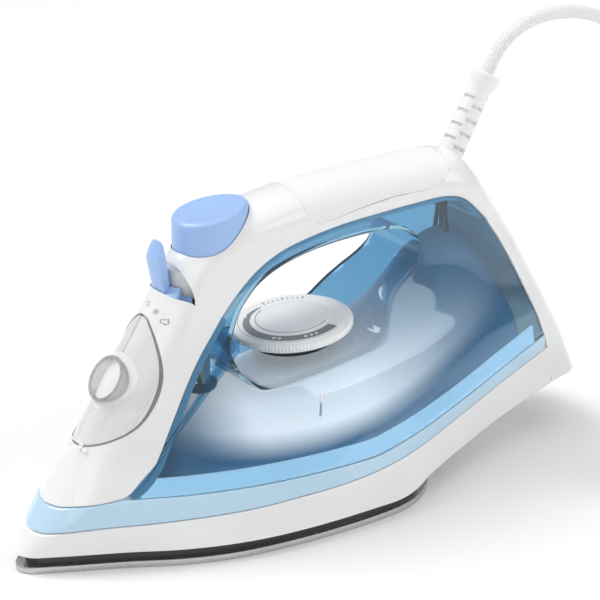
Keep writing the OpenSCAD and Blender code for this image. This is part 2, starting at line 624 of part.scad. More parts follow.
// ---- Steam lever ------------------------------------------------------------------------
shelf_z = 108.2;                        // floor of the lever's slot
lever_z = shelf_z + 0.3;
module lever_slot() {
    translate([lever_x, 0, shelf_z]) rotate([0, 0, 118]) rotate_extrude(angle = 124, $fn = 72)
        polygon([[11.4, 0], [18.8, 0], [18.8, 14.6], [11.4, 14.6]]);
}
module lever_guide() {
    color(pale_grey) from_tip() translate([lever_x, 0, 0]) {
        difference() {
            translate([0, 0, shelf_z - 3.4]) cylinder(r = 13.4, h = 2.9);
            translate([0, 0, shelf_z - 4]) cylinder(d = 8.1, h = 4);
            translate([4.6, -15, shelf_z - 4]) cube([12, 30, 4]);
            for (s = [-1, 1]) translate([2, s * 9.5, shelf_z - 4]) cylinder(d = 5.4, h = 4);
        }
        rotate([0, 0, 119]) translate([0, 0, shelf_z + 2.4]) rotate_extrude(angle = 122)
            polygon([[11.6, 0], [12.8, 0], [12.8, 12.1], [11.6, 12.1]]);
    }
}
module steam_lever() {
    color(trim_blue) from_tip() translate([lever_x, 0, 0]) {
        translate([0, 0, lever_z - 4]) cylinder(d = 8, h = 4.2);
        translate([0, 0, lever_z]) cylinder(d = 12, h = 1.6);
        rotate([0, 0, 128]) translate([0, 0, lever_z]) rotate_extrude(angle = 104)
            polygon([[5, 0], [14.1, 0], [14.1, 2.4], [13.5, 2.8], [13.5, 1.6], [5, 1.6]]);
        rotate([0, 0, 140]) translate([0, 0, lever_z + 0.3]) rotate_extrude(angle = 80)
            polygon([[13.2, 0], [18.4, 0], [18.4, 3.1], [14, 6.7], [13.2, 6.7]]);
        rotate([0, 0, 166]) translate([0, 0, lever_z]) rotate_extrude(angle = 28)
            polygon([[14.4, 0.4], [18.4, 0.4], [18.4, 8], [20.8, tab_h - 3], [20, tab_h - 0.6],
                [18.6, tab_h], [17.4, tab_h - 1.6]]);
    }
}
module dosing_rod() {
    color(brass_c) from_tip() {
        translate([lever_x, 0, 70]) cylinder(d = 4, h = 33);
        translate([valve_x, 0, 26]) cylinder(d = 4, h = 47);
        translate([lever_x, -2, 70]) cube([valve_x - lever_x, 4, 3]);
    }
}
module valve_tube() {
    color(dark) from_tip() translate([valve_x, 0, chamber_top + cover_t]) difference() {
        cylinder(d = 14, h = 47);
        translate([0, 0, 4]) cylinder(d = 9, h = 50);
        translate([0, 0, -1]) cylinder(d = 2.4, h = 10);
    }
}

// ---- Temperature dial --------------------------------------------------------------------
module ribbed_disc(d, n, h) {
    linear_extrude(h) polygon([for (k = [0:2 * n - 1]) let (r = d / 2 - (k % 2) * 0.7, a = k * 180 / n)
        [r * cos(a), r * sin(a)]]);
}
module dial() {
    color(pale_grey) from_tip() on_dial() difference() {
        union() {
            translate([0, 0, -4.8]) ribbed_disc(dial_d, dial_ribs, 3.4);
            translate([0, 0, -1.4]) cylinder(d1 = dial_d - 0.8, d2 = dial_d - 3, h = 1.4);
        }
        translate([0, 0, -6]) cylinder(d = dial_d - 8, h = 3);
        translate([0, 0, -6]) cylinder(d = 6, h = 4.2);
    }
}
module dial_shaft() {
    color(white) from_tip() on_dial() {
        translate([0, 0, -58.5]) cylinder(d = 6, h = 56.6);
        translate([0, 0, -5.6]) cylinder(d = 11, h = 2.5);
    }
}
module dial_arc() {
    color(dark) from_tip() on_dial() rotate([0, 0, 95]) rotate_extrude(angle = 190)
        polygon([[20.5, 0], [24, 0], [24, 0.15], [20.5, 0.15]]);
}
module dial_dots() {
    color(white) from_tip() on_dial() {
        for (g = [[150, 1], [200, 2], [250, 3]]) for (k = [0:g[1] - 1])
            rotate([0, 0, g[0] + (k - (g[1] - 1) / 2) * 6]) translate([22.2, 0, 0.15])
                cylinder(d = 1.5, h = 0.1);
        for (a = [-60:12:60]) rotate([0, 0, a]) translate([23.5, -0.3, 0]) cube([1.8, 0.6, 0.1]);
    }
}
module dial_collar() {
    color(dark) from_tip() on_dial() translate([0, 0, -10.1]) ring(40, 12, 4.8);
}

// ---- Cord bush and cord --------------------------------------------------------------------
module bush_socket() {
    color(pale_grey) from_tip() translate(ball_at) difference() {
        translate([0, 0, -9]) cylinder(d = 18.4, h = 9.6);
        sphere(d = ball_d + 0.1);
        translate([0, 0, -12]) cylinder(d = 9, h = 10);
    }
}
module bush_ball() {
    color(white) from_tip() translate(ball_at) difference() {
        sphere(d = ball_d);
        rotate([0, bush_lean, 0]) translate([0, 0, -12]) cylinder(d = cord_d + 0.2, h = 30);
    }
}
module cord_bush() {
    color(white) from_tip() on_bush() difference() {
        union() {
            translate([0, 0, 7.6]) cylinder(d = 12.6, h = 3);
            translate([0, 0, 10.6]) cylinder(d1 = 12.8, d2 = 10.8, h = 26);
            translate([0, 0, 36.6]) cylinder(d1 = 11.4, d2 = 15, h = 4);
            translate([0, 0, 40.6]) cylinder(d1 = 15, d2 = 12.6, h = bush_l - 40.6);
        }
        translate([0, 0, 5]) cylinder(d = cord_d + 0.2, h = bush_l - 6);
        for (k = [0:3]) for (s = [-1, 1]) translate([-8, s > 0 ? 0.8 : -9.8,
            15 + k * 5.6 + (s > 0 ? 0 : 2.8)]) cube([16, 9, 1.5]);
    }
}
module terminal_block() {
    color(white) from_tip() translate([228, -9, 84]) {
        difference() {
            cube([14, 18, 11]);
            for (k = [0:2]) translate([7, 3.6 + k * 5.4, 5]) cylinder(d = 4.2, h = 8);
        }
    }
    color(brass_c) from_tip() for (k = [0:2]) translate([235, -5.4 + k * 5.4, 89])
        cylinder(d = 4, h = 3);
}
module lead_wires() {
    color(dark) from_tip() {
        for (s = [-1, 1]) tube_along(smooth_route([[234 + s, s * 5.4, 83.6], [232, s * 7, 76],
            [224, s * 10, 64], [212, s * 16, 50], [196, s * 26, 34], [188, s * 36, 22],
            [185.6, s * 42.4, 14.6]], 2), 2.6, 8);
        for (s = [-1, 0, 1]) tube_along(smooth_route([[234.8, s * 2.6, 128.8],
            [235, s * 3, 118], [235, s * 5, 106], [235, s * 5.4, 95.3]], 2), 2.2, 8);
    }
}
module cord() { color(white) tube_along(smooth_route(cord_route, 2), cord_d, 10); }
module cord_coil() {
    color(white) translate(coil_at) rotate_extrude()
        polygon([[coil_r - coil_w / 2, 3], [coil_r - coil_w / 2 + 3, 0], [coil_r + coil_w / 2 - 3, 0],
            [coil_r + coil_w / 2, 3], [coil_r + coil_w / 2, coil_h - 3],
            [coil_r + coil_w / 2 - 3, coil_h], [coil_r - coil_w / 2 + 3, coil_h],
            [coil_r - coil_w / 2, coil_h - 3]]);
}
module cord_tie() {
    color(dark) translate(coil_at) rotate([0, 0, -20]) translate([coil_r, 0, 0]) difference() {
        translate([-coil_w / 2 - 1.6, -5, 0]) cube([coil_w + 3.2, 10, coil_h + 1.2]);
        translate([-coil_w / 2 - 0.7, -6, -1]) cube([coil_w + 1.4, 12, coil_h + 1.1]);
    }
}
module cord_lead() { color(white) tube_along(smooth_route(lead_route, 2), cord_d, 10, [0, 0, 1]); }
module on_plug() { translate(plug_at) rotate([0, 0, plug_turn]) rotate([0, 90, 0]) children(); }
module plug_body() {
    color(white) on_plug() {
        cylinder(d1 = 11, d2 = 16, h = 16);
        translate([0, 0, 16]) cylinder(d1 = 24, d2 = 36, h = 10);
        translate([0, 0, 26]) cylinder(d = 36, h = 16);
    }
}
module plug_pins() {
    color(steel) on_plug() for (s = [-1, 1]) translate([0, s * 9.5, 42]) {
        cylinder(d = 4.8, h = 17.5);
        translate([0, 0, 17.5]) cylinder(d1 = 4.8, d2 = 3, h = 1.5);
    }
}

soleplate();
steam_chamber();
chamber_cover();
chamber_screws();
heating_element();
element_terminals();
thermostat();
thermal_fuse();
heat_shield();
base_plate();
base_screws();
skirt();
tank_shell();
tank_neck();
grip_liner();
tank_back();
tank_seal();
inner_dome();
tank_lid();
level_mark();
handle_housing();
grip_top();
rear_cover();
rear_screws();
funnel();
filler_pipe();
door();
door_knuckle();
door_pin();
nozzle_base();
nozzle_ring();
nozzle_core();
spray_hose();
spray_pump();
suction_hose();
button();
pump_piston();
pump_spring();
lever_guide();
steam_lever();
dosing_rod();
valve_tube();
dial();
dial_shaft();
dial_arc();
dial_dots();
dial_collar();
bush_socket();
bush_ball();
cord_bush();
terminal_block();
lead_wires();
cord();
cord_coil();
cord_tie();
cord_lead();
plug_body();
plug_pins();
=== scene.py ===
"""Looks of the steam iron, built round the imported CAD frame.

Lengths are in millimetres, places are (distance behind the tip, across, up), and
place() turns them into the frame's metres.
"""
import math

import bmesh
import bpy
import numpy as np
from mathutils import Matrix, Vector


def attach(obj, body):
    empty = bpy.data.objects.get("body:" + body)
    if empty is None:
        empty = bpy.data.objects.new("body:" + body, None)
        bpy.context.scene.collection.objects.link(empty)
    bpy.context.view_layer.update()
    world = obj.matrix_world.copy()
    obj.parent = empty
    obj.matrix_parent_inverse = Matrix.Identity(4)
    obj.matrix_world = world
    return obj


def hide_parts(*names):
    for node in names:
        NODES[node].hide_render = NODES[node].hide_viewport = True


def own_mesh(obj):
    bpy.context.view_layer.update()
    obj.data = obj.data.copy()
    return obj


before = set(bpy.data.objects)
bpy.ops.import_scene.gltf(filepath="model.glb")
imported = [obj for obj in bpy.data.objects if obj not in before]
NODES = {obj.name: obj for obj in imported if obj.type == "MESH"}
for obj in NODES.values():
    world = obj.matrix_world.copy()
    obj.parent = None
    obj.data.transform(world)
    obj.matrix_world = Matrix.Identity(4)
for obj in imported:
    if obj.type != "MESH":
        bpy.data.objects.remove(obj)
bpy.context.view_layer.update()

# ---- Driving sizes
TIP_X = -153.0            # the tip in the frame
SOLE_LEN = 213.0
WALL = 2.2
CORD_D = 6.6
DIAL_LEAN = 6.0           # leans are in degrees
DIAL_AT = (147.0, 0.0, 84.0)
NOSE_AT = (49.3, 0.0, 78.0)
CREST_SLOPE = 54.9        # of the nose, from level
NOZZLE_R = 10.8
LEVER_AT = (93.5, 0.0)    # the lever's upright axis
LEVER_Z = 108.5
TAB_H = 28.0              # height of the lever's thumb tab
SLOT_HALF = 60.0          # half of the lever slot's arc, degrees
BUTTON_X = 103.5
BALL_AT = (234.8, 0.0, 138.0)
BUSH_LEAN = 31.0
COIL_AT = (238.0, -62.0)  # the coil's middle; the cord has the frame's own places


def place(p):
    """From the iron's millimetres to the frame's metres."""
    return ((p[0] + TIP_X) / 1000, p[1] / 1000, p[2] / 1000)


def new_object(name, data):
    made = bpy.data.objects.new(name, data)
    bpy.context.scene.collection.objects.link(made)
    return made


def aim(made, at, ahead):
    """Puts an object at a place, looking along a direction."""
    made.location = at
    made.rotation_mode = "QUATERNION"
    made.rotation_quaternion = ahead.to_track_quat("-Z", "Y")


# ---- Camera
def make_camera(azimuth, elevation, at, lens):
    a, e = math.radians(azimuth), math.radians(elevation)
    back = Vector((math.sin(a) * math.cos(e), -math.cos(a) * math.cos(e), math.sin(e)))
    data = bpy.data.cameras.new("camera")
    data.lens, data.sensor_width = lens, 36
    data.clip_start, data.clip_end = 0.05, 20
    camera = new_object("camera", data)
    aim(camera, at, -back)
    bpy.context.scene.camera = camera


make_camera(azimuth=-36, elevation=21.5, at=(-0.49176, -0.67514, 0.42017), lens=117)


# ---- Node materials
class Look:
    """A procedural material: a Principled shader and a few texture helpers."""

    def __init__(self, name, color, rough=0.4, metal=0.0, **extra):
        self.mat = bpy.data.materials.new(name)
        self.mat.use_nodes = True
        self.tree = self.mat.node_tree
        self.shader = self.tree.nodes["Principled BSDF"]
        self.color = color
        self.set("Base Color", (*color, 1))
        self.set("Roughness", rough)
        self.set("Metallic", metal)
        for key, value in extra.items():
            self.set(key.replace("_", " "), value)

    def set(self, socket, value):
        self.shader.inputs[socket].default_value = value

    def node(self, kind, links=(), **values):
        made = self.tree.nodes.new(kind)
        for key, value in values.items():
            if key in made.inputs:
                made.inputs[key].default_value = value
            else:
                setattr(made, key, value)
        for source, socket in links:
            self.tree.links.new(source, made.inputs[socket])
        return made

    def link(self, source, socket):
        self.tree.links.new(source, self.shader.inputs[socket])

    def where(self):
        return self.node("ShaderNodeTexCoord").outputs["Object"]

    def noise(self, size, detail=3.0, rough=0.5):
        """Noise whose grains are about size metres across."""
        return self.node("ShaderNodeTexNoise", [(self.where(), "Vector")], Scale=1 / size,
                         Detail=detail, Roughness=rough).outputs["Fac"]

    def calc(self, kind, first, second=0.0):
        """One sum; second is a number or another output."""
        made = self.node("ShaderNodeMath", [(first, 0)], operation=kind)
        if isinstance(second, float):
            made.inputs[1].default_value = second
        else:
            self.tree.links.new(second, made.inputs[1])
        return made.outputs[0]

    def remap(self, source, start, end, low=0.0, high=1.0):
        """Stretches what lies between start and end into the range low to high."""
        limits = {"From Min": start, "From Max": end, "To Min": low, "To Max": high}
        return self.node("ShaderNodeMapRange", [(source, "Value")], **limits).outputs[0]

    def ramp(self, source, stops):
        """Colours along a 0 to 1 texture, from (place, colour) stops."""
        made = self.node("ShaderNodeValToRGB", [(source, "Fac")])
        ends = made.color_ramp.elements
        for end, (at, color) in zip((ends[0], ends[1]), (stops[0], stops[-1])):
            end.position, end.color = at, (*color, 1)
        for at, color in stops[1:-1]:
            ends.new(at).color = (*color, 1)
        return made.outputs["Color"]

    def mottle(self, source, other):
        """Base colour drifts between the own colour and other along a texture."""
        self.link(self.ramp(source, ((0.35, self.color), (0.65, other))), "Base Color")

    def vary_rough(self, source, low, high):
        """Roughness drifts between low and high along a texture."""
        self.link(self.remap(source, 0.25, 0.75, low, high), "Roughness")

    def bump(self, source, depth, strength=1.0):
        made = self.node("ShaderNodeBump", [(source, "Height")], Distance=depth, Strength=strength)
        self.link(made.outputs["Normal"], "Normal")


def tinted(color, factor):
    return tuple(min(1, c * factor) for c in color)


def plastic(name, color, rough, grain=0.0006, depth=0.00001, **extra):
    """Moulded plastic: a fine grain, with colour and gloss that drift a little."""
    look = Look(name, color, rough, **extra)
    look.mottle(look.noise(0.03, 2), tinted(color, 0.975))
    look.vary_rough(look.noise(0.012), rough * 0.88, rough * 1.12)
    look.bump(look.noise(grain, 2), depth)
    return look


def metal(name, color, rough, stretch=(1, 1, 1), depth=0.000008):
    """Metal with a fine grain, drawn out along an axis by a small stretch."""
    look = Look(name, color, rough, 1.0)
    mapping = look.node("ShaderNodeMapping", [(look.where(), "Vector")], Scale=stretch)
    grain = look.node("ShaderNodeTexNoise", [(mapping.outputs[0], "Vector")], Scale=900, Detail=4)
    look.mottle(look.noise(0.02, 3), tinted(color, 0.93))
    look.vary_rough(grain.outputs["Fac"], rough * 0.75, rough * 1.3)
    look.bump(grain.outputs["Fac"], depth)
    return look


def tank_look(name, color, deep, clear):
    """Clear tinted plastic that colours what lies behind it."""
    look = Look(name, color, 0.04, IOR=1.12, Transmission_Weight=clear,
                Coat_Weight=1.0, Coat_Roughness=0.03)
    look.mottle(look.noise(0.05, 2), deep)
    look.bump(look.noise(0.02, 2), 0.00003, 0.5)
    return look


# The dome's painted highlight, an emission sweep, in metres: the middle of its curve, how fast
# it rises away from there, and the heights between which it shows.
SWEEP_X = -0.023
SWEEP_BEND = 2.07
SWEEP_Z = (0.036, 0.096)


def painted_glow_look(name, color, glow, gain):
    """White dome with a painted highlight: an emission in a long curved sweep above its foot stands
    in for the light its sides catch.
    """
    look = Look(name, color, 0.35)
    part = look.node("ShaderNodeSeparateXYZ", [(look.where(), "Vector")])
    middle = look.calc("ADD", part.outputs["X"], -SWEEP_X)
    rise = look.calc("MULTIPLY", look.calc("POWER", middle, 2.0), SWEEP_BEND)
    height = look.remap(look.calc("SUBTRACT", part.outputs["Z"], rise), *SWEEP_Z)
    shares = ((0.0, 0.0), (0.18, 1.0), (0.34, 0.85), (0.5, 0.42), (0.66, 0.16), (1.0, 0.02))
    sweep_color = look.ramp(height, [(at, tinted(glow, share)) for at, share in shares])
    look.link(sweep_color, "Emission Color")
    shares = ((0.0, 0.1), (0.05, 0.2), (0.19, 1.0), (0.5, 1.0), (0.8, 0.3), (1.0, 0.03))
    along = look.remap(part.outputs["X"], -0.08, 0.10)
    fade = look.ramp(along, [(at, (share, share, share)) for at, share in shares])
    look.link(look.calc("MULTIPLY", fade, gain), "Emission Strength")
    look.bump(look.noise(0.0006, 2), 0.00001)
    return look


def edge_look(name, color, flat, grazing, rough=0.05):
    """Clear plastic that shows mostly where it is seen edge-on; its colour there is painted shade
    for the dark edges of clear plastic.
    """
    look = Look(name, color, rough, IOR=1.45, Coat_Weight=0.6, Coat_Roughness=0.03)
    facing = look.node("ShaderNodeLayerWeight", Blend=0.4).outputs["Facing"]
    look.link(look.remap(facing, 0.25, 0.95, flat, grazing), "Alpha")
    look.bump(look.noise(0.01, 2), 0.00002, 0.5)
    return look


WHITE = plastic("white_plastic", (0.84, 0.84, 0.845), 0.22, Coat_Weight=0.25, Coat_Roughness=0.12)
GRIP = Look("grip_texture", (0.85, 0.85, 0.85), 0.5)
GRIP.mottle(GRIP.noise(0.0008, 2), (0.80, 0.80, 0.80))
GRIP.bump(GRIP.noise(0.0007, 1), 0.00005, 0.7)
TANK = tank_look("tank_blue", (0.34, 0.61, 0.79), (0.33, 0.59, 0.78), 0.97)
BAND = tank_look("band_blue", (0.58, 0.79, 0.95), (0.56, 0.77, 0.94), 0.12)
TRIM = plastic("trim_blue", (0.34, 0.52, 0.86), 0.3, Coat_Weight=0.15, Coat_Roughness=0.2)
HEAD = plastic("spray_grey", (0.40, 0.40, 0.41), 0.35)
GREY = plastic("pale_grey", (0.68, 0.68, 0.685), 0.35)
# The greys of the clear parts are painted shade along their edges, darkest on the door's rim.
CLEAR = edge_look("clear_plastic", (0.50, 0.51, 0.52), 0.08, 0.7)
# The recess is a darker copy of the white plastic: painted shade inside the bowl behind the door.
SHADED_RECESS = plastic("recess_shaded_white", (0.66, 0.66, 0.65), 0.5)
RING = edge_look("clear_ring", (0.30, 0.31, 0.33), 0.28, 0.9)
RIM = edge_look("clear_rim", (0.16, 0.16, 0.17), 0.6, 0.9)
# The dial is lighter than the other white plastic as painted light, to make up for the shade the
# handle casts on it.
DIAL = plastic("dial_white", (0.93, 0.93, 0.93), 0.36)
# The dome: a dark blue-grey base colour as painted shade, with an emission sweep as a painted
# highlight.
DOME = painted_glow_look("dome_painted_light", (0.21, 0.34, 0.46), (1.0, 0.59, 0.45), 2.3)
# The tank's foot strip glows: its emission is painted light, seen through the tank.
GLOWING_FOOT = plastic("tank_foot_glow", (0.85, 0.87, 0.88), 0.4,
               Emission_Color=(1, 0.9, 0.88, 1), Emission_Strength=0.75)
DARK = plastic("dark_plastic", (0.035, 0.036, 0.04), 0.4)
PRINT = plastic("print_grey", (0.26, 0.26, 0.28), 0.45)
MARK = plastic("print_white", (0.88, 0.88, 0.88), 0.4)
SEAL = plastic("seal_rubber", (0.02, 0.02, 0.022), 0.6, depth=0.00003)
SOLE = metal("soleplate_metal", (0.60, 0.605, 0.61), 0.3, (1, 0.05, 1), 0.000002)
STEEL = metal("steel", (0.62, 0.63, 0.65), 0.3)
CAST = metal("cast_aluminium", (0.45, 0.46, 0.48), 0.5, depth=0.00008)
HEATER = metal("heater_sheath", (0.10, 0.10, 0.11), 0.5)
BRASS = metal("brass", (0.62, 0.45, 0.18), 0.3)
CERAMIC = plastic("ceramic", (0.72, 0.69, 0.62), 0.6, depth=0.00003)
HOSE = plastic("clear_hose", (0.62, 0.62, 0.60), 0.3)
WIRE = plastic("wire_cover", (0.04, 0.04, 0.05), 0.45)
BUSH = plastic("bush_rubber", (0.86, 0.86, 0.865), 0.42, depth=0.00002)
PLUG = plastic("plug_plastic", (0.80, 0.80, 0.80), 0.4)


# ---- Curves through tables, as the CAD draws them
def knots(table):
    t = np.array(table, float)
    slope = np.empty(len(t))
    slope[1:-1] = (t[2:, 1] - t[:-2, 1]) / (t[2:, 0] - t[:-2, 0])
    slope[0] = (t[1, 1] - t[0, 1]) / (t[1, 0] - t[0, 0])
    slope[-1] = (t[-1, 1] - t[-2, 1]) / (t[-1, 0] - t[-2, 0])
    return t[:, 0], t[:, 1], slope


def hermite(a, b, m, n, h, u):
    return ((2 * u**3 - 3 * u**2 + 1) * a + (u**3 - 2 * u**2 + u) * m * h
            + (3 * u**2 - 2 * u**3) * b + (u**3 - u**2) * n * h)


def curve(table, v):
    """Smooth curve through rows of [place, value]."""
    x, y, m = knots(table)
    v = np.clip(np.asarray(v, float), x[0], x[-1])
    k = np.clip(np.searchsorted(x, v, side="right") - 1, 0, len(x) - 2)
    h = x[k + 1] - x[k]
    return hermite(y[k], y[k + 1], m[k], m[k + 1], h, (v - x[k]) / h)


def line(table, v):
    """Straight stretches between rows of [place, value]."""
    t = np.array(table, float)
    return np.interp(v, t[:, 0], t[:, 1])


# ---- The body's outer form
CREST = [[0, 8], [3, 12], [8.5, 20], [30, 50.6], [50, 79], [69, 106], [77, 117.5],
         [84, 127.5], [93, 136], [105, 141.5], [122, 146], [142, 149], [165, 150.5],
         [190, 151], [222, 151], [236, 149.5], [246, 141], [254, 130], [261, 120],
         [268, 110], [274, 100], [280, 90], [285, 80], [292, 67], [298, 55], [303, 45],
         [305.5, 36], [306, 31]]
KEEL = [[0, 8], [165, 8], [181, 9], [190, 11], [207, 13], [227, 16], [247, 20],
        [264, 23], [285, 26.5], [298, 28], [303, 28.6], [306, 30]]
AT_X = [0, 20, 40, 60, 80, 100, 125, 150, 170, 190, 210, 235, 260, 285, 310]
AT_Z = [8, 22, 45, 65, 82, 100, 118, 132, 151]
HALF_W = [
    [5.5, 16.5, 27, 38.5, 47, 52.5, 56, 57.5, 57.5, 51.5, 44.5, 38, 33.5, 30, 28],
    [6, 17.5, 27.5, 36, 43, 48, 51.5, 53, 52, 48.5, 43.5, 38, 34, 30.5, 28],
    [6, 12, 17, 26, 33.5, 39.5, 44.5, 47, 47, 45, 42, 38, 34.5, 31, 28],
    [5, 9, 13, 20, 27, 32.5, 37.5, 40, 40, 38.5, 36.5, 34, 31.5, 28, 26],
    [5, 9, 13, 17, 21.5, 25, 28.5, 30, 30, 29, 28.5, 27.5, 26, 24, 22],
    [5, 9, 12, 14.5, 17.5, 19, 19.5, 19.5, 19.5, 20, 21.5, 23, 23, 22, 20],
    [5, 9, 11, 13, 15, 17, 17.5, 17.5, 17.5, 18, 19.5, 21, 21, 20, 19],
    [5, 9, 11, 13, 14.5, 17, 18.5, 19, 19, 19.5, 20.5, 21, 20, 19, 18],
    [5, 9, 11, 13, 14.5, 17, 18.5, 19, 19, 19.5, 20.5, 21, 20, 19, 18]]
ROUND_IN = [[0, 6], [10, 10], [30, 20], [50, 25], [75, 24], [95, 14], [120, 12],
            [150, 13], [220, 14], [240, 20], [260, 26], [306, 30]]
SOLE_W = [[0, 4.5], [20, 15.5], [40, 26], [60, 37.5], [80, 46], [100, 51],
          [125, 54.5], [150, 56], [170, 55.6], [213, 55]]
DOME_CREST = [[62, 30], [66, 42], [74, 53], [88, 61], [105, 64.5], [125, 66.5], [150, 69.3],
              [172, 72], [184, 76], [200, 83], [210, 93], [218, 104], [226, 109.5], [237, 110.5],
              [246, 107], [254, 97], [262, 83.5], [270, 68], [277, 48]]


def cap(t):
    """Quarter-circle rise from 0 to 1 as t goes from 0 to 1."""
    return np.sqrt(1 - (1 - np.clip(t, 0, 1)) ** 2)


def width(s, z):
    """Half width of the body before its crest rounds it in."""
    s, z = np.broadcast_arrays(np.asarray(s, float), np.asarray(z, float))
    rows = np.array([curve(list(zip(AT_X, row)), s) for row in HALF_W])
    at = np.array(AT_Z, float)
    slope = np.empty_like(rows)
    slope[1:-1] = (rows[2:] - rows[:-2]) / (at[2:] - at[:-2]).reshape((-1,) + (1,) * s.ndim)
    slope[0] = (rows[1] - rows[0]) / (at[1] - at[0])
    slope[-1] = (rows[-1] - rows[-2]) / (at[-1] - at[-2])
    v = np.clip(z, at[0], at[-1])
    k = np.clip(np.searchsorted(at, v, side="right") - 1, 0, len(at) - 2)
    pick = lambda a, j: np.take_along_axis(a, j[None], 0)[0]
    h = at[k + 1] - at[k]
    return hermite(pick(rows, k), pick(rows, k + 1), pick(slope, k), pick(slope, k + 1), h,
                   (v - at[k]) / h)


def crest(s, inset=0.0):
    """Height of the crest, inset mm inside the outer form."""
    lean = np.sqrt(1 + ((curve(CREST, s + 1) - curve(CREST, s - 1)) / 2) ** 2)
    return curve(CREST, s) - inset * np.minimum(lean, 3)


def half(s, z, inset=0.0):
    """Half width of the finished body, inset mm inside its outer form."""
    s = np.asarray(s, float)
    return (width(s, z) - inset) * cap((crest(s, inset) - z) / curve(ROUND_IN, s))


def bisect(lo, hi, short, steps):
    """Closes in on where short(place) stops being true, for many places at once."""
    for _ in range(steps):
        mid = (lo + hi) / 2
        below = short(mid)
        lo, hi = np.where(below, mid, lo), np.where(below, hi, mid)
    return hi


def tip_of(z, inset=0.0):
    """Where the crest passes height z on its way up from the tip."""
    far = np.full_like(z, 120.0, float)
    return bisect(np.zeros_like(z, float), far, lambda s: crest(s, inset) < z, 40)


# ---- Meshes
def solid_object(name, points, faces):
    mesh = bpy.data.meshes.new(name)
    mesh.from_pydata([place(p) for p in points], [], faces)
    return new_object(name, mesh)


def mesh_piece(name, points, faces, look, body, slot, replaces=(), sharp=35):
    """A piece from points in millimetres, riding on a body in place of CAD nodes."""
    made = solid_object(name, points, faces)
    made.data.validate()
    recalc(made)
    smooth(made, sharp)
    return finish_piece(made, look, body, replaces)


def finish_piece(made, look, body, replaces=()):
    made.data.materials.clear()
    made.data.materials.append(look.mat)
    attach(made, body)
    if replaces:
        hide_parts(*replaces)
    return made


def recalc(made):
    """Merges double points and turns every face outwards."""
    bm = bmesh.new()
    bm.from_mesh(made.data)
    bmesh.ops.remove_doubles(bm, verts=bm.verts, dist=2e-6)
    bmesh.ops.dissolve_degenerate(bm, edges=bm.edges, dist=1e-6)
    bmesh.ops.recalc_face_normals(bm, faces=bm.faces)
    bm.to_mesh(made.data)
    bm.free()


def smooth(made, angle=35):
    made.data.shade_smooth()
    made.data.set_sharp_from_angle(angle=math.radians(angle))


def sweep(sections, closed=False):
    """Faces of a solid through closed sections of equal count; open runs get end caps."""
    n, m = len(sections[0]), len(sections)
    points = [tuple(p) for section in sections for p in section]
    runs = range(m) if closed else range(m - 1)
    faces = [(i * n + j, i * n + (j + 1) % n, (i + 1) % m * n + (j + 1) % n, (i + 1) % m * n + j)
             for i in runs for j in range(n)]
    if not closed:
        faces += [tuple(range(n)), tuple(reversed(range((m - 1) * n, m * n)))]
    return points, faces


def across(rows, closed=False):
    """Solid through rows of points that run side by side, all of equal count."""
    return sweep(list(np.array(rows).transpose(1, 0, 2)), closed)


def cut(made, cutters):
    """Takes (points, faces) tools out of a piece, one after another."""
    for points, faces in cutters:
        tool = solid_object("tool", points, faces)
        recalc(tool)
        change = made.modifiers.new("cut", "BOOLEAN")
        change.operation, change.object, change.solver = "DIFFERENCE", tool, "EXACT"
        bpy.context.view_layer.update()
        done = bpy.data.meshes.new_from_object(
            made.evaluated_get(bpy.context.evaluated_depsgraph_get()))
        made.modifiers.clear()
        made.data = done
        bpy.data.objects.remove(tool)
    smooth(made)


def carried(ends):
    """Solid between two outlines of equal count."""
    n = len(ends[0])
    faces = [tuple(range(n)), tuple(reversed(range(n, 2 * n)))]
    faces += [(i, (i + 1) % n, n + (i + 1) % n, n + i) for i in range(n)]
    return ends[0] + ends[1], faces


def prism(outline, y=90.0):
    """Side-view outline carried across the iron."""
    return carried([[(p[0], end, p[1]) for p in outline] for end in (-y, y)])


def frame_of(at, lean, turn=0.0):
    """Maps points of a frame that leans, then turns about the upright axis, to the iron's own."""
    m = Matrix.Rotation(math.radians(turn), 3, "Z") @ Matrix.Rotation(math.radians(lean), 3, "Y")
    at = Vector(at)
    return lambda p: tuple(at + m @ Vector(p))


def polar(r, a, at=(0, 0)):
    return at[0] + r * math.cos(a), at[1] + r * math.sin(a)


def lathe(profile, to=lambda p: p, sides=96, ripple=lambda a, r, z: r):
    """Solid of revolution through (radius, height) rows; a first radius of 0 closes it."""
    sections = []
    for k in range(sides):
        a = 2 * math.pi * k / sides
        sections.append([to((*polar(ripple(a, r, z), a), z)) for r, z in profile])
    return sweep(sections, closed=True)


def quarter(steps, first=0):
    """(1 - sine, 1 - cosine) pairs over a quarter turn, for rounded edges."""
    turns = [math.pi / 2 * k / steps for k in range(first, steps + 1)]
    return [(1 - math.sin(a), 1 - math.cos(a)) for a in turns]


def rounded(r, z, corner, toward_r, toward_z):
    """Quarter-round at a corner of a profile, from the side along r to the side along z."""
    return [(r + toward_r * corner * u, z + toward_z * corner * v) for u, v in quarter(4)]


def cylinder(r, z0, z1, to=lambda p: p, sides=32, at=(0, 0)):
    ring = [polar(r, a, at) for a in np.linspace(0, 2 * math.pi, sides, endpoint=False)]
    return sweep([[to((x, y, z)) for x, y in ring] for z in (z0, z1)])


def joined(solids):
    """Several separate solids as one tool."""
    points, faces = [], []
    for p, f in solids:
        base = len(points)
        points += list(p)
        faces += [tuple(i + base for i in face) for face in f]
    return points, faces


def spaced(p, count, closed=False):
    """Evenly spaced points along a run of points."""
    p = np.array(p, float)
    if closed:
        p = np.vstack([p, p[:1]])
    run = np.concatenate([[0], np.cumsum(np.linalg.norm(np.diff(p, axis=0), axis=1))])
    at = np.linspace(0, run[-1], count + (1 if closed else 0))
    out = np.column_stack([np.interp(at, run, p[:, i]) for i in range(p.shape[1])])
    return out[:-1] if closed else out


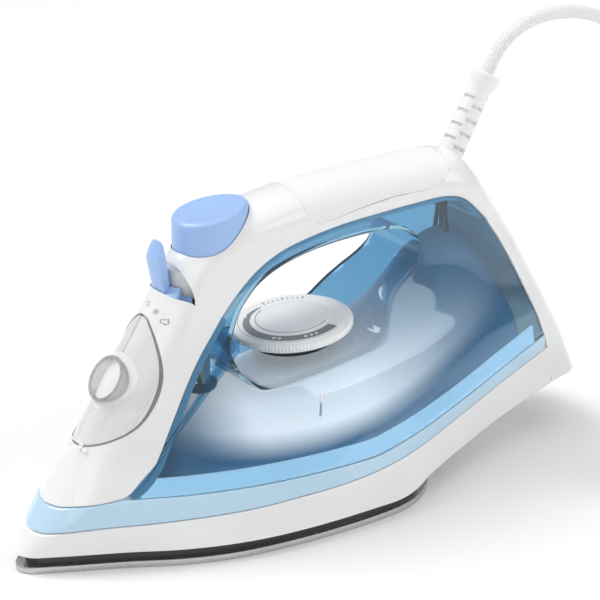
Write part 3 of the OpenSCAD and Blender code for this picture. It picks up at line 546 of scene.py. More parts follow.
# ---- Tubes along a route
def smooth_route(points, steps):
    """The route's curve, as in the CAD: steps points for each stretch."""
    p = np.array(points, float)
    out = []
    for k in range(len(p) - 1):
        m = (p[k + 1] - p[max(k - 1, 0)]) / (1 if k == 0 else 2)
        n = (p[min(k + 2, len(p) - 1)] - p[k]) / (1 if k == len(p) - 2 else 2)
        out += [hermite(p[k], p[k + 1], m, n, 1, u)
                for u in np.linspace(0, 1, steps, endpoint=False)]
    return np.array(out + [p[-1]])


def tube(name, route, d, look, body, replaces=(), sides=20):
    """Round tube along points in metres, with a UV map that runs along and round it."""
    p = np.array(route, float)
    ahead = np.gradient(p, axis=0)
    ahead /= np.linalg.norm(ahead, axis=1)[:, None]
    normal = np.cross(ahead[0], (0.31, 0.92, 0.2))
    rings = []
    for k in range(len(p)):
        normal = normal - ahead[k] * normal.dot(ahead[k])
        normal /= np.linalg.norm(normal)
        side = np.cross(ahead[k], normal)
        rings.append([p[k] + d / 2 * (math.cos(a) * normal + math.sin(a) * side)
                      for a in np.linspace(0, 2 * math.pi, sides, endpoint=False)])
    points, faces = sweep(rings)
    mesh = bpy.data.meshes.new(name)
    mesh.from_pydata([tuple(q) for q in points], [], faces)
    run = np.concatenate([[0], np.cumsum(np.linalg.norm(np.diff(p, axis=0), axis=1))])
    layer = mesh.uv_layers.new(name="route")
    for face in mesh.polygons[:-2]:
        for loop in face.loop_indices:
            ring, j = divmod(mesh.loops[loop].vertex_index, sides)
            first = face.index % sides
            turn = 1.0 if first == sides - 1 and j == 0 else j / sides
            layer.data[loop].uv = (run[ring] * 100, turn)
    made = new_object(name, mesh)
    smooth(made, 50)
    return finish_piece(made, look, body, replaces)


def braid_look(name, color, crease_shade):
    """Braided textile: two sets of strands that cross round the cord, with painted shade in the
    hollows between them.
    """
    look = Look(name, color, 0.85, Sheen_Weight=0.25, Sheen_Roughness=0.5)
    uv = look.node("ShaderNodeUVMap", uv_map="route").outputs["UV"]
    part = look.node("ShaderNodeSeparateXYZ", [(uv, "Vector")])

    def strands(lean):
        along = look.calc("MULTIPLY", part.outputs["X"], lean)
        turn = look.calc("MULTIPLY", part.outputs["Y"], 12.0)
        angle = look.calc("MULTIPLY", look.calc("ADD", along, turn), 2 * math.pi)
        return look.calc("SINE", angle)

    weave = look.calc("MULTIPLY", strands(5.0), strands(-5.0))
    height = look.remap(weave, -1.0, 1.0)
    # Painted shade: the weave's hollows take the darker colour, the tops of its strands the cord's
    # own.
    look.link(look.ramp(height, ((0.0, crease_shade), (1.0, color))), "Base Color")
    look.bump(height, 0.0004, 0.9)
    return look


CORD = braid_look("cord_braid", (0.97, 0.97, 0.97), (0.84, 0.84, 0.85))

# ---- Mains cord: its route in the frame's own millimetres
CORD_ROUTE = [(107.8, 0, 181.3), (113, 0, 190.5), (121, 0, 198), (132, 0, 203),
              (145, 0, 205), (160, 0, 204.5), (175, 0, 201), (190, 0, 194.5), (204, -1, 184),
              (216, -3, 169), (225, -6, 150), (232, -9, 128), (238, -12, 105), (243, -15, 82),
              (248, -18, 60), (254, -22, 40), (262, -28, 25), (270, -37, 15)]
LEAD_ROUTE = [(222, -110.3, 5.5), (212, -111.5, 8), (203, -112, 12.5), (194, -112, 17),
              (185, -112, 18.5), (176, -112, 18.5)]
# The coil's turns as (turns so far, radius, height): three on top, four on the floor.
TURNS = [(0.0, 40.6, 14.2), (0.15, 44.6, 9.9), (1.0, 44.6, 9.9), (1.25, 38, 9.9), (2.0, 38, 9.9),
         (2.25, 31.4, 9.9), (2.9, 31.4, 9.9), (3.15, 31.4, 3.3), (3.9, 31.4, 3.3), (4.15, 38, 3.3),
         (4.95, 38, 3.3), (5.2, 44.6, 3.3), (6.28, 44.6, 3.3)]


def coil_turns():
    """Points along the coil, from where the free run reaches it."""
    start = math.atan2(CORD_ROUTE[-1][1] - COIL_AT[1], CORD_ROUTE[-1][0] - COIL_AT[0])
    radius, height = [[(t[0], t[i]) for t in TURNS] for i in (1, 2)]
    out = []
    for t in np.arange(0.06, TURNS[-1][0], 1 / 40):
        a = start - 2 * math.pi * t
        out.append((*polar(line(radius, t), a, COIL_AT), line(height, t)))
    return out


def relaxed(p, passes):
    """Evens out the small kinks where the coil's stretches meet."""
    for _ in range(passes):
        p[1:-1] = p[1:-1] * 0.5 + (p[:-2] + p[2:]) * 0.25
    return p


cord_path = np.vstack([smooth_route(CORD_ROUTE, 6), coil_turns(), smooth_route(LEAD_ROUTE, 6)])
cord_path = relaxed(spaced(cord_path, 620), 6) / 1000
cord = tube("mains_cord", cord_path, CORD_D / 1000, CORD, "cord_swivel",
            ["cord", "cord_coil", "cord_lead"], 16)


# ---- Panels of the body
SKIRT_LINE = [[-10, 17.6], [7, 18], [15, 19.6], [30, 20.8], [50, 21], [90, 21.2],
              [115, 21.8], [141, 22.3], [171, 24.3], [185, 26], [200, 28.5], [215, 31.4],
              [231, 35], [246, 39], [262, 43], [279, 47]]
BAND_LINE = [[-10, 29], [15, 29], [22, 30.3], [31, 31], [43, 31.6], [72, 30.8], [117, 30.2],
             [143, 30], [160, 30], [172, 31.5], [185, 33.2], [200, 35.7], [215, 38.6], [231, 42.2],
             [246, 46.2], [262, 50.2], [277.4, 54]]
HOUSING_LINE = [[-10, 29], [15, 29], [22, 30.3], [31, 31], [37, 31.6], [43, 33],
                [48, 35.5], [52, 38.6], [56, 43], [60, 49], [68, 63], [75, 75], [83, 86.5],
                [91, 95.5], [100, 105], [110, 114], [119, 120.3], [130, 125.5], [145, 129],
                [160, 131], [180, 132.2], [205, 133.5], [220, 133.5], [231, 130.5], [238, 125],
                [245, 118]]
HEEL_LINE = [[229.2, 152], [232, 142.5], [236.2, 134], [245, 118], [253, 106], [259, 95.5],
             [265, 84], [270, 72.5], [275, 60], [279, 47], [283.5, 28], [285, 15]]
GRIP_LINE = [[142, 160], [142.2, 141], [143.5, 137], [148, 134.7], [156, 134.6], [171, 137],
             [191, 139], [207, 139], [219, 141], [225, 145], [227.5, 150], [228, 160]]
GAP = [[99, 86], [101, 92], [106, 100.5], [112, 107], [119, 112.5], [130, 117.3],
       [146, 121], [162, 122.6], [178, 123], [190, 122.4], [199, 120], [204.5, 115.5],
       [206.5, 110], [204.5, 104.8], [198, 100], [190.5, 95.5], [184.5, 90], [180.5, 84],
       [177.5, 79.5], [172, 76.4], [150, 74], [130, 71.9], [112, 70.4], [105, 73], [101, 78]]
SEAM = 0.22               # half of a parting line between two panels
EDGE = 0.55               # rounding of a panel's edge
GAP_ROUND = 2.6           # rounding of the hand gap's edge

# Rows across an edge: (distance from the edge, depth below the outer form).
EDGE_ROWS = [(EDGE * u, EDGE * v) for u, v in quarter(4)][::-1]


def ring_panel(lower, upper, s_end, rows, wall=WALL, inside=0.0):
    """Panel between two heights that runs round the tip, from one rear end to the other."""
    walk = np.linspace(-1, 1, 301)

    def row(share, off, inset):
        height = lambda s: lower(s) * (1 - share) + upper(s) * share + off
        tip, inset = np.array([6.0]), inset + inside
        for _ in range(30):
            tip = tip_of(height(tip), inset)
        s = tip + (s_end - tip) * np.abs(walk) ** 2.2
        z = height(s)
        y = half(s, z, inset) * np.sign(walk)
        return np.column_stack([s, y, z])

    outer = [row(0, SEAM + d, i) for d, i in EDGE_ROWS]
    outer += [row(f, 0, 0) for f in np.linspace(0, 1, rows + 2)[1:-1]]
    outer += [row(1, -SEAM - d, i) for d, i in EDGE_ROWS[::-1]]
    inner = [row(1, -SEAM, wall), row(0.5, 0, wall), row(0, SEAM, wall)]
    return across(outer + inner)


def crest_panel(lower, s, seam=SEAM):
    """Panel that runs over the crest, from its lower edge on one side to the other."""
    fall = np.gradient(lower(s), s)
    tilt = np.minimum(np.sqrt(1 + fall**2), 4)

    def row(share, off, inset, side):
        low = np.minimum(lower(s), crest(s) - 0.4)
        top = np.maximum(crest(s, inset), low + 0.2)
        base = np.minimum(low + off * tilt, top)
        z = top - (top - base) * share**2
        return np.column_stack([s, side * half(s, z, inset), z])

    shares = np.sin(np.linspace(0, math.pi / 2, 26))[1:-1]
    left = [row(1, seam + d, i, -1) for d, i in EDGE_ROWS]
    left += [row(f, EDGE, 0, -1) for f in shares[::-1]]
    middle = [row(0, 0, 0, 1)]
    right = [row(f, EDGE, 0, 1) for f in shares]
    right += [row(1, seam + d, i, 1) for d, i in EDGE_ROWS[::-1]]
    inner = [row(f, 0, WALL, 1) for f in (1, 0.8, 0.6, 0.4, 0.2, 0)]
    inner += [row(f, 0, WALL, -1) for f in (0.2, 0.4, 0.6, 0.8, 1)]
    return across(left + middle + right + inner)


def resample(points, count):
    """Evenly spaced points along a smooth closed curve through the given ones."""
    p = np.array(points, float)
    p = np.vstack([p[-2:], p, p[:3]])
    fine = []
    for k in range(1, len(p) - 2):
        for u in np.linspace(0, 1, 12, endpoint=False):
            m, n = (p[k + 1] - p[k - 1]) / 2, (p[k + 2] - p[k]) / 2
            fine.append(hermite(p[k], p[k + 1], m, n, 1, u))
    return spaced(fine[12:], count, closed=True)


def grown(loop, by):
    """A closed side-view loop moved outwards; it runs clockwise seen from the left."""
    d = np.roll(loop, -1, 0) - np.roll(loop, 1, 0)
    d /= np.linalg.norm(d, axis=1)[:, None]
    return loop + by * np.column_stack([-d[:, 1], d[:, 0]])


def tank_outline():
    """The tank's outer edge and the hand gap's edge, as four matched stretches each."""
    under = [(s, line(BAND_LINE, s)) for s in np.linspace(277.4, 42, 150)]
    over = [(s, curve(HOUSING_LINE, s)) for s in np.linspace(43, 245, 260)]
    heel = [(s, curve(HEEL_LINE, s)) for s in np.linspace(245, 277.4, 50)][1:-1]
    edge = [over, [(245, 118)] + heel[:25], heel[24:] + [(277.4, 54)], under]
    counts = (150, 50, 50, 110)

    gap = resample(GAP, 720)
    nearest = lambda corner: int(np.argmin(np.linalg.norm(gap - np.array(corner), axis=1)))
    gap = np.roll(gap, -nearest((100, 80)), 0)
    a, b, c = [nearest(corner) for corner in ((203, 117), (204, 104), (172, 76.4))]
    parts = [gap[:a + 1], gap[a:b + 1], gap[b:c + 1], np.vstack([gap[c:], gap[:1]])]
    return [np.vstack([spaced(run, count + 1)[:-1] for run, count in zip(runs, counts)])
            for runs in (edge, parts)]


def tank_panel():
    """Double-walled tank round the hand gap, with its lining across the iron."""
    outer, inner = tank_outline()
    inward = inner - outer
    inward /= np.linalg.norm(inward, axis=1)[:, None]

    def on_side(p, inset, side, lower_y=0.0):
        return np.column_stack([p[:, 0], side * (half(p[:, 0], p[:, 1], inset) - lower_y), p[:, 1]])

    def between(a, b, shares, inset, side):
        return [on_side(a * (1 - f) + b * f, inset, side) for f in shares]

    def halfway(p, row):
        return np.column_stack([p[:, 0], row[:, 1] * 0.5, p[:, 1]])

    def middle(p):
        return [np.column_stack([p[:, 0], p[:, 0] * 0, p[:, 1]])]

    def outside(side):
        rows = [on_side(outer + inward * (SEAM + d) * 1.3, i, side) for d, i in EDGE_ROWS]
        rows += between(outer, grown(inner, GAP_ROUND), np.linspace(0, 1, 16)[1:], 0, side)
        rows += [on_side(grown(inner, GAP_ROUND * u), 0, side, GAP_ROUND * v)
                 for u, v in quarter(6, 1)]
        return rows + [halfway(inner, rows[-1])]

    thick = grown(inner, WALL)

    def inside(side):
        rows = [on_side(outer + inward * SEAM, WALL, side)]
        rows += between(outer, thick, np.linspace(0, 1, 8)[1:], WALL, side)
        return rows + [halfway(thick, rows[-1])]

    return across(outside(-1) + middle(inner) + outside(1)[::-1]
                  + inside(1) + middle(thick) + inside(-1)[::-1], closed=True)


def edge(table, off=0.0):
    """Height along the iron from a table, moved by off."""
    return lambda s: curve(table, s) + off


def stations(*runs):
    """Places along the iron from (first, last, count) runs."""
    return np.concatenate([np.linspace(*run) for run in runs])


mesh_piece("skirt_panel", *ring_panel(edge(KEEL, -SEAM), edge(SKIRT_LINE), 283, 10), WHITE,
           "iron", "white", ["skirt"])
mesh_piece("tank_band", *ring_panel(edge(SKIRT_LINE), edge(BAND_LINE), 277.4, 8), BAND,
           "iron", "tank")
# Strip inside the tank at its foot, whose emission is painted light.
mesh_piece("tank_foot_glow", *ring_panel(edge(BAND_LINE, -2.5), edge(BAND_LINE, 6.5), 272, 4, 1.2,
                                    inside=3.4), GLOWING_FOOT, "iron", "tank")
mesh_piece("tank_body", *tank_panel(), TANK, "iron", "tank",
           ["tank_shell", "tank_neck", "grip_liner", "tank_back"])
housing_s = stations((14.3, 60, 60), (61, 120, 60), (121.5, 228, 70), (228.5, 244.6, 24))
housing = mesh_piece("housing", *crest_panel(edge(HOUSING_LINE), housing_s), WHITE, "iron",
                     "white", ["handle_housing"])
heel_s = stations((229.6, 245, 30), (246, 278, 40), (278.5, 285, 26), (286, 301, 18))
heel_end = 301 + 4.97 * np.sin(np.linspace(0, math.pi / 2, 30))[1:]
heel = mesh_piece("heel_cover", *crest_panel(
    lambda s: np.maximum(curve(HEEL_LINE, s), curve(KEEL, s)), np.concatenate([heel_s, heel_end])),
    WHITE, "iron", "white", ["rear_cover"])
grip_s = stations((142.3, 146, 12), (147, 220, 60), (221, 227.6, 16))
mesh_piece("grip_cover", *crest_panel(edge(GRIP_LINE), grip_s, seam=0.05), GRIP, "iron", "grip",
           ["grip_top"])


# ---- Nose: door opening, recess, door and nozzle
DOOR_HALF = [[0, 104.5], [3, 104], [6, 102], [10, 98], [13.5, 93], [16.5, 87],
             [18.6, 80], [19.4, 72], [19, 64], [17.6, 59.5], [15, 56.3], [11.5, 54],
             [7, 52.6], [0, 52]]
DOOR_LOOP = resample(DOOR_HALF + [[-y, z] for y, z in DOOR_HALF[-2:0:-1]], 144)
DOOR_MID = np.array([0.0, 78.0])


def front(y, z, inset=0.0):
    """How far back the nose's surface lies at (y, z) of the front view."""
    y, z = np.abs(y), np.asarray(z, float)
    lo = tip_of(z, inset)
    return bisect(lo, lo + 45, lambda s: half(s, z, inset) < y, 34)


def on_front(loop, inset=0.0):
    return np.column_stack([front(loop[:, 0], loop[:, 1], inset), loop[:, 0], loop[:, 1]])


def door_scaled(f, grow=0.0):
    """The door's outline, scaled about its middle and then grown by some millimetres."""
    out = DOOR_MID + (DOOR_LOOP - DOOR_MID) * f
    d = DOOR_LOOP - DOOR_MID
    return out + grow * d / np.linalg.norm(d, axis=1)[:, None]


def front_prism(loop, x0, x1):
    """Front-view outline carried along the iron."""
    return carried([[(x, p[0], p[1]) for p in loop] for x in (x0, x1)])


def nozzle_hole(r):
    """The nozzle's opening in the front view, matched with the door's outline."""
    d = DOOR_LOOP - DOOR_MID
    a = np.arctan2(d[:, 1], d[:, 0])
    high = r * math.sin(math.radians(CREST_SLOPE))
    return DOOR_MID + np.column_stack([r * np.cos(a), high * np.sin(a)])


def sunk(loop, depth):
    """The loop laid on the nose, then moved inwards along the nozzle's axis."""
    lean = math.radians(90 - CREST_SLOPE)
    return on_front(loop) + depth * np.array([math.cos(lean), 0, -math.sin(lean)])


def door_piece():
    """Clear shell with a flange round its edge and an opening for the nozzle."""
    hole, rim, inner_rim = nozzle_hole(NOZZLE_R + 1.1), door_scaled(1, -0.95), door_scaled(1, -2.2)
    rows = [sunk(door_scaled(1, -0.4), 4.5), sunk(door_scaled(1, -0.35), 0.5),
            sunk(door_scaled(1, -0.5), 0.12), sunk(rim, 0)]
    rows += [sunk(rim * (1 - f) + hole * f, 0) for f in np.linspace(0, 1, 12)[1:-1]]
    rows += [sunk(nozzle_hole(NOZZLE_R + 1.5), 0.05), sunk(hole, 0.5), sunk(hole, 1.6)]
    rows += [sunk(hole * (1 - f) + inner_rim * f, 1.6) for f in np.linspace(0, 1, 8)[1:]]
    rows += [sunk(inner_rim, 4.5)]
    return across(rows, closed=True)


def door_rim():
    """Thick outer edge of the clear door."""
    rows = []
    for a in (math.pi / 4 * k for k in range(8)):
        rows.append(sunk(door_scaled(1, -0.65 + 0.42 * math.cos(a)), 0.05 + 0.42 * math.sin(a)))
    return across(rows, closed=True)


def recess_piece():
    """White bowl behind the door, with a gentle keel down its middle."""
    rows, back = [sunk(door_scaled(1, 0.1), 1.9)], []
    for f in np.concatenate([[0.97], np.linspace(0.94, 0.06, 20)]):
        u = min(1, (1 - f) / 0.42)
        deep = 1.9 + 7.4 * u * u * (3 - 2 * u)
        loop = door_scaled(f)
        keel = -1.6 * u * np.exp(-np.abs(loop[:, :1]) / 3)
        rows.append(sunk(loop, deep + keel))
        back.append(sunk(loop, deep + keel + 1.2))
    first = sunk(door_scaled(1, 0.1), 3.1)
    return across(rows + back[::-1] + [first], closed=True)


to_nose = frame_of(NOSE_AT, -CREST_SLOPE)
to_dial = frame_of(DIAL_AT, -DIAL_LEAN)
to_bush = frame_of(BALL_AT, BUSH_LEAN)


def turned(section, turns, at=(0, 0), to=lambda p: p):
    """Solid along an arc; section(turn) gives its (radius, height) rows at a turn in degrees."""
    rows = []
    for turn in turns:
        a = math.radians(turn)
        rows.append([to((*polar(r, a, at), z)) for r, z in section(turn)])
    return sweep(rows)


def box_rows(r0, r1, z0, z1):
    return [(r0, z0), (r1, z0), (r1, z1), (r0, z1)]


def slot_section(turn):
    """Arched opening for the lever."""
    share = abs(turn - 180) / SLOT_HALF
    rise = 13.4 * max(0.0, 1 - share**2.6) ** 0.6
    return box_rows(11.4, 18.9, LEVER_Z - 0.3, LEVER_Z + 3.0 + rise)


def button_plan(grow, z, count=96):
    """The button's egg-shaped outline, grown by some millimetres, at height z."""
    out = []
    for a in np.linspace(0, 2 * math.pi, count, endpoint=False):
        r = (17.6 + grow, 15.4 + grow)
        out.append((BUTTON_X + r[0] * math.cos(a), r[1] * math.sin(a) * (1 - 0.1 * math.cos(a)), z))
    return out


mesh_piece("filler_door", *door_piece(), CLEAR, "door", "clear", ["door"])
mesh_piece("door_rim", *door_rim(), RIM, "door", "clear")
mesh_piece("filler_recess", *recess_piece(), SHADED_RECESS, "iron", "white", ["funnel"])
button_hole = sweep([button_plan(0.4, 124), button_plan(0.4, 170)])
lever_slot = turned(slot_section, np.linspace(180 - SLOT_HALF, 180 + SLOT_HALF, 64), LEVER_AT)
cut(housing, [front_prism(door_scaled(1), -5, 76), prism(GRIP_LINE), lever_slot, button_hole])
cut(heel, [cylinder(7.3, 0, 30, frame_of(BALL_AT, BUSH_LEAN, turn), 40)
           for turn in (-32, -16, 0, 16, 32)])


def ring_profile(ro, ri, z0, z1, corner):
    """Tube section with rounded corners."""
    return (rounded(ri, z0, corner, 1, 1) + rounded(ro, z0, corner, -1, 1)[::-1]
            + rounded(ro, z1, corner, -1, -1) + rounded(ri, z1, corner, 1, -1)[::-1])


HEAD_PROFILE = [(0.01, -8), (8.6, -8), (8.6, -3.4), (8.0, -2.7), (4.1, -2.6), (3.9, -3.0),
                (3.5, -3.0), (3.3, -2.6), (0.01, -2.6)]
mesh_piece("spray_ring", *lathe(ring_profile(NOZZLE_R, NOZZLE_R - 1.7, -8, 2.5, 0.6), to_nose),
           RING, "iron", "clear", ["nozzle_ring"])
core = mesh_piece("spray_head", *lathe(HEAD_PROFILE, to_nose), HEAD, "iron", "grey",
                  ["nozzle_core"])
spray_holes = [cylinder(0.55, -5, 0, to_nose, 16, polar(5.8, a))
               for a in np.radians(np.arange(0, 360, 60))]
cut(core, [joined(spray_holes + [cylinder(1.0, -5, 0, to_nose, 20)])])


def decal(outline, at, size, turn=0.0):
    """Thin printed mark on the nose, drawn in its front view about (across, up)."""
    c, n = math.cos(math.radians(turn)), math.sin(math.radians(turn))
    laid = np.array([(at[0] + size * (c * u - n * v), at[1] + size * (n * u + c * v) * 0.84)
                     for u, v in outline])
    return sweep([on_front(laid, -0.04).tolist(), on_front(laid, 0.3).tolist()])


def hoop(r, w, a0=0, a1=360, at=(0, 0), steps=28):
    """Outline of a thin ring or arc."""
    gap = 0.5 if a1 - a0 >= 360 else 0
    turns = np.radians(np.linspace(a0, a1 - gap, steps))
    return [polar(r, a, at) for a in turns] + [polar(r - w, a, at) for a in turns[::-1]]


# Plain marks for the lever's settings: an empty ring, a ring with a dot, a puff of steam.
DRY_AT, LOW_AT, STEAM_AT = (0.6, 108.4), (-5.6, 106.6), (-10.8, 103.4)
icons = [decal(hoop(1, 0.24), DRY_AT, 1.15), decal(hoop(1, 0.24), LOW_AT, 1.15),
         decal(hoop(0.4, 0.39), LOW_AT, 1.15)]
icons += [decal(hoop(0.62, 0.22, a0, a0 + 230, at), STEAM_AT, 1.3, 25)
          for a0, at in ((-10, (-0.1, 0.55)), (80, (-0.85, -0.1)), (-80, (0.75, -0.1)))]
icons += [decal([(-1.1, -0.9), (1.0, -0.9), (1.0, -0.68), (-1.1, -0.68)], STEAM_AT, 1.3, 25)]
slot_floor = turned(lambda turn: box_rows(11.3, 17.0, LEVER_Z - 1.4, LEVER_Z - 0.5),
                    np.linspace(116, 244, 48), LEVER_AT)
mesh_piece("slot_floor", *slot_floor, WHITE, "iron", "white")
mesh_piece("setting_marks", *joined(icons), PRINT, "iron", "dial_print")


# ---- Button, lever and dial
BUTTON_LOW = 128.4
BUTTON_ROUND = 2.4        # rounding of the button's top edge


def button_top(x):
    """The button's top slopes up towards the rear."""
    return 141.8 + (x - 80) * 7.6 / 46


def button_piece():
    plan = button_plan(0, 0)
    rows = [button_plan(-3, BUTTON_LOW), button_plan(0, BUTTON_LOW)]
    rows += [[(x, y, BUTTON_LOW * (1 - f) + (button_top(x) - BUTTON_ROUND) * f) for x, y, _ in plan]
             for f in (0.1, 0.3, 0.5, 0.7, 0.9, 1)]
    dips = [(-BUTTON_ROUND * v, BUTTON_ROUND * u) for u, v in quarter(7, 1)]
    dips += [(-4, 0.02), (-6, 0.25), (-9, 0.6), (-12, 0.85), (-14.5, 0.95)]
    rows += [[(x, y, button_top(x) - dip) for x, y, _ in button_plan(grow, 0)]
             for grow, dip in dips]
    return sweep(rows)


mesh_piece("spray_button", *button_piece(), TRIM, "button", "blue", ["button"])


def lever_section(turn):
    """Ring segment that fills the slot; it is lower and narrower past 34.5 degrees."""
    turn = turn - 180
    far = float(np.clip((abs(turn) - 34.5) / 4, 0, 1))
    far = far * far * (3 - 2 * far)
    outer, high = 18.4 - 4.3 * far, 1 - 0.5 * far
    fall = 0.8 * (turn / 40) ** 2 * (1 - far)
    return [(r, LEVER_Z + z) for r, z in (
        (5, 0), (outer, 0), (outer, 4.3 * high - fall), (outer - 0.5, 4.9 * high - fall),
        (13.9, 7.0 * high), (13.4, 6.8 * high), (13.4, 1.6), (5, 1.6))]


def lever_tab():
    """Thumb tab that leans forward and thins towards its rounded top."""
    bend = 20.0
    rows = []
    for h in stations((0.6, bend, 14), (bend + 0.8, TAB_H - 0.4, 10), (TAB_H, TAB_H, 1)):
        u = h / TAB_H
        half_turn = 16.0 - 4.0 * u
        inner = 14.3 + 3.0 * u**1.4
        outer = 18.35 + 2.9 * float(np.clip((h - 6) / 14, 0, 1)) ** 0.8
        if h > bend:
            down = (h - bend) / (TAB_H - bend)
            outer = outer * (1 - down**1.3) + (inner + 1.3) * down**1.3
            half_turn *= 0.55 + 0.45 * math.sqrt(max(0.0, 1 - down**4))
        arc = np.radians(np.linspace(180 - half_turn, 180 + half_turn, 12))
        ring = [(outer, a) for a in arc] + [(inner, a) for a in arc[::-1]]
        rows.append([(*polar(r, a, LEVER_AT), LEVER_Z + h) for r, a in ring])
    return sweep(rows)


lever_ring = turned(lever_section, np.linspace(124, 236, 80), LEVER_AT)
lever_hub = cylinder(6, LEVER_Z - 0.001, LEVER_Z + 1.6, sides=40, at=LEVER_AT)
lever = mesh_piece("thumb_lever", *joined([lever_ring, lever_tab(), lever_hub]), TRIM,
                   "steam_lever", "blue", ["steam_lever"])
soften = lever.modifiers.new("soften", "BEVEL")
soften.width, soften.segments, soften.limit_method = 0.0006, 3, "ANGLE"
soften.angle_limit = math.radians(40)


def knurl(a, r, z):
    """Fine ribs round the dial's rim."""
    return r + 0.22 * math.cos(110 * a) * max(0, min(1, (r - 27.2) * 2))


DIAL_PROFILE = [(0.01, -2.0), (20, -2.0), (20, -4.8), (27.2, -4.8), (27.9, -4.4), (28, -3.2),
                (28, -2.1), (27.7, -1.5), (27.0, -1.1), (26.2, -0.9), (25.2, -0.15), (24.6, 0),
                (18.0, 0.0), (17.6, 0.35), (17.2, 0.5), (8, 0.55), (0.01, 0.55)]
mesh_piece("dial_wheel", *lathe(DIAL_PROFILE, to_dial, 660, knurl), DIAL, "dial", "grey", ["dial"])


def dial_ring(inner, outer, start, end, z0, z1, steps=60):
    """Thin printed ring on the dial; outer may be a function of the way along it."""
    def section(turn):
        u = (turn - start) / (end - start)
        return box_rows(inner, outer(u) if callable(outer) else outer, z0, z1)

    return turned(section, np.linspace(start, end, steps), to=to_dial)


def widening(u):
    """Outer radius of the heat band, from the coolest setting to the hottest."""
    return 19.8 + 4.4 * min(1, u * 2.2) ** 0.7


heat_band = dial_ring(19.4, widening, 101, 293, -0.1, 0.08)
mesh_piece("dial_band", *joined([heat_band, dial_ring(16.7, 17.05, 112, 300, 0.4, 0.6)]), PRINT,
           "dial", "dial_print", ["dial_arc"])

dots = []
for middle, count in ((134, 1), (216, 2), (258, 3)):
    for k in range(count):
        a = math.radians(middle + (k - (count - 1) / 2) * 7)
        dots.append(cylinder(0.85, -0.05, 0.16, to_dial, 20, polar(21.9, a)))
mesh_piece("dial_marks", *joined(dots), MARK, "dial", "mark", ["dial_dots"])

ticks = []
for k in range(9):
    a = 40 + 6.5 * k
    end = 22.8 if k % 4 == 0 else 21.6
    ticks.append(dial_ring(20.4, end, a - 0.9, a + 0.9, -0.1, 0.06, 4))
ticks.append(dial_ring(24.9, 25.2, 120, 290, -0.6, -0.1))
mesh_piece("dial_ticks", *joined(ticks), PRINT, "dial", "dial_print")


# ---- Bend relief
SLOTS = [12.6 + 3.5 * k for k in range(8)]
SLOT_SHAPE = ((6.3, -0.92), (6.25, -0.86), (6.2, -0.8), (6.2, 0.8), (6.25, 0.86), (6.3, 0.92))


def bush_piece():
    """Tapered sleeve with slots that alternate between its four sides, and a flared end."""
    rows = [(3.4, 7.6), (6.0, 7.6), (6.3, 8.0)]
    rows += [(r, middle + step) for middle in SLOTS for r, step in SLOT_SHAPE]
    rows += [(5.9, 38.6), (5.95, 39.5), (6.15, 42), (6.6, 45), (7.2, 48), (7.4, 49.2), (7.3, 49.8),
             (6.8, 50.3), (6.0, 50.5), (3.4, 50.5)]

    def shape(a, r, z):
        slim = 1 - 0.10 * max(0, min(1, (z - 9) / 28))
        r = r * slim if 6.1 < r < 6.35 else r
        for k, middle in enumerate(SLOTS):
            if abs(z - middle) < 0.82:
                turn = (math.degrees(a) - (0 if k % 2 else 90)) % 180
                if min(turn, 180 - turn) < 40:
                    return 4.3
        return r

    return lathe(rows, to_bush, 144, shape)


mesh_piece("bend_relief", *bush_piece(), BUSH, "cord_swivel", "bush", ["cord_bush"], 30)


# ---- Pump spring: its foot stands still while the button presses it
SPRING_AT = (104, 0.0)
SPRING_R = 5
SPRING_LOW = 130.0
SPRING_HIGH = 137.2


def spring_route(turns=3):
    """Points in metres along the spring's coils."""
    out = []
    for u in np.linspace(0, 1, 36 * turns + 1):
        x, y = polar(SPRING_R, 2 * math.pi * turns * u, SPRING_AT)
        out.append(place((x, y, SPRING_LOW * (1 - u) + SPRING_HIGH * u)))
    return out


spring = tube("return_spring", spring_route(), 0.0009, STEEL, "iron", ["pump_spring"], 8)
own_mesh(spring)


# ---- Dome inside the tank
def dome_piece():
    """Thin white shell, closed towards both ends and over its top."""
    s = np.concatenate([[60.5, 61.2], np.linspace(62, 277, 90), [278.6, 279.6]])

    def side(inset):
        top, low = curve(DOME_CREST, s) - inset, curve(KEEL, s) + 12 - inset * 2
        ends = cap((s - 59 - inset) / 22) * cap((281 - inset - s) / 20)
        rows = []
        for r in np.sin(np.linspace(0, math.pi / 2, 22)):
            z = low + (top - low) * r
            w = np.minimum(width(s, z), width(s, low) - 2) - 7 - inset
            rows.append((w * cap((top - z) / 26) * ends, z))
        return rows

    def both(rows, first):
        """Up one side of the iron and down the other."""
        there = [np.column_stack([s, first * y, z]) for y, z in rows]
        return there + [np.column_stack([s, -first * y, z]) for y, z in rows[-2::-1]]

    return across(both(side(0), -1) + both(side(1.6), 1))


# The dome carries painted light: shade in its base colour, a highlight in its emission.
mesh_piece("water_dome", *dome_piece(), DOME, "iron", "white", ["inner_dome"])


# ---- Soleplate
def sole_loop(inset, z, count=150):
    side = []
    for k in range(count + 1):
        u = (1 - math.cos(k * math.pi / count)) / 2
        x = inset * 1.8 + u * (SOLE_LEN - inset * 2.8)
        w = (float(curve(SOLE_W, x)) - inset) * float(cap((x - inset * 1.8) / 4)) \
            * float(cap((SOLE_LEN - inset - x) / 49))
        side.append((x, max(0.0, w)))
    return [(x, -y, z) for x, y in side] + [(x, y, z) for x, y in side[-2:0:-1]]


def hole_row(places, share, inset):
    """A pair of mirrored rows at a share of the soleplate's width."""
    return [(x, side * (float(curve(SOLE_W, x)) * share - inset))
            for x in places for side in (1, -1)]


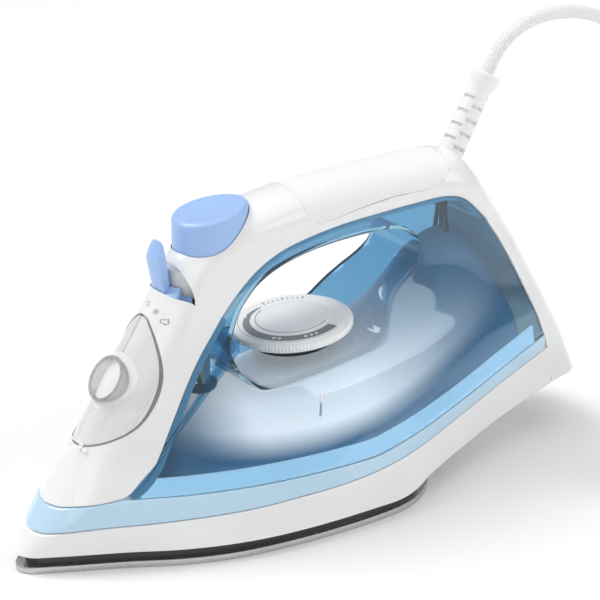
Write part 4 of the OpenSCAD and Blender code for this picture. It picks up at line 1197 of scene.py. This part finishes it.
hole_spots = hole_row(range(34, 155, 12), 0.66, 3) + hole_row(range(60, 117, 14), 0.38, 2)
hole_spots += [(24, 0), (34, 0), (46, 6), (46, -6)]
SOLE_ROWS = ((0.55, 0), (0.16, 0.16), (0, 0.55), (0, 2.7), (0.14, 3.06), (0.5, 3.2))
sole = mesh_piece("sole_face", *sweep([sole_loop(inset, z) for inset, z in SOLE_ROWS]), SOLE,
                  "iron", "sole", ["soleplate"])
cut(sole, [joined([cylinder(1.3, -1, 1.6, lambda p: p, 20, at) for at in hole_spots])])


# ---- Materials of the CAD nodes that show as they are
LOOKS = (
    (WHITE, "base_plate tank_lid filler_pipe door_knuckle door_pin spray_pump pump_piston"
            " dial_shaft terminal_block"),
    (STEEL, "chamber_cover chamber_screws base_screws rear_screws plug_pins"),
    (GREY, "nozzle_base lever_guide bush_socket"),
    # The heat shield is near-black as painted shade: it fills the shadowed gap between the skirt
    # and the soleplate.
    (DARK, "heat_shield valve_tube dial_collar"),
    (CERAMIC, "element_terminals thermostat"),
    (BRASS, "thermal_fuse dosing_rod"),
    (SEAL, "tank_seal cord_tie"),
    (HOSE, "spray_hose suction_hose"),
    (CAST, "steam_chamber"),
    (HEATER, "heating_element"),
    (MARK, "level_mark"),
    (BUSH, "bush_ball"),
    (WIRE, "lead_wires"),
    (PLUG, "plug_body"))
for look, names in LOOKS:
    for name in names.split():
        NODES[name].data.materials.clear()
        NODES[name].data.materials.append(look.mat)


# ---- Floor and light
def area_light(name, at, size, power):
    """Soft light aimed at the iron's middle."""
    data = bpy.data.lights.new(name, "AREA")
    data.shape, data.size, data.size_y = "RECTANGLE", size[0], size[1]
    data.energy = power
    aim(new_object(name, data), at, Vector((0, 0, 0.06)) - Vector(at))


def sun_light(name, source, angle, strength):
    """Wide even light from the direction of source, with soft shadows."""
    data = bpy.data.lights.new(name, "SUN")
    data.energy, data.angle = strength, math.radians(angle)
    aim(new_object(name, data), (0, 0, 0), -Vector(source))


def studio():
    bm = bmesh.new()
    bmesh.ops.create_grid(bm, x_segments=8, y_segments=8, size=6)
    mesh = bpy.data.meshes.new("floor")
    bm.to_mesh(mesh)
    bm.free()
    floor = new_object("floor", mesh)
    paper = Look("paper", (0.82, 0.82, 0.82), 0.9)
    paper.set("Specular IOR Level", 0.0)
    paper.set("Emission Color", (1, 1, 1, 1))
    paper.set("Emission Strength", 0.05)
    mesh.materials.append(paper.mat)
    world = bpy.data.worlds.new("world")
    world.use_nodes = True
    sky = world.node_tree.nodes["Background"]
    sky.inputs["Color"].default_value = (1, 1, 1, 1)
    sky.inputs["Strength"].default_value = 0.39
    bpy.context.scene.world = world
    sun_light("key", (-0.6, 0.7, 1.2), 34, 1.7)
    sun_light("top", (0.1, 0.1, 1.7), 70, 0.85)
    area_light("front", (-1.3, -0.9, 0.8), (0.9, 0.9), 3.2)
    area_light("side", (1.0, -1.2, 0.95), (1.3, 0.9), 8)
    bpy.context.scene.view_settings.view_transform = "Standard"


studio()
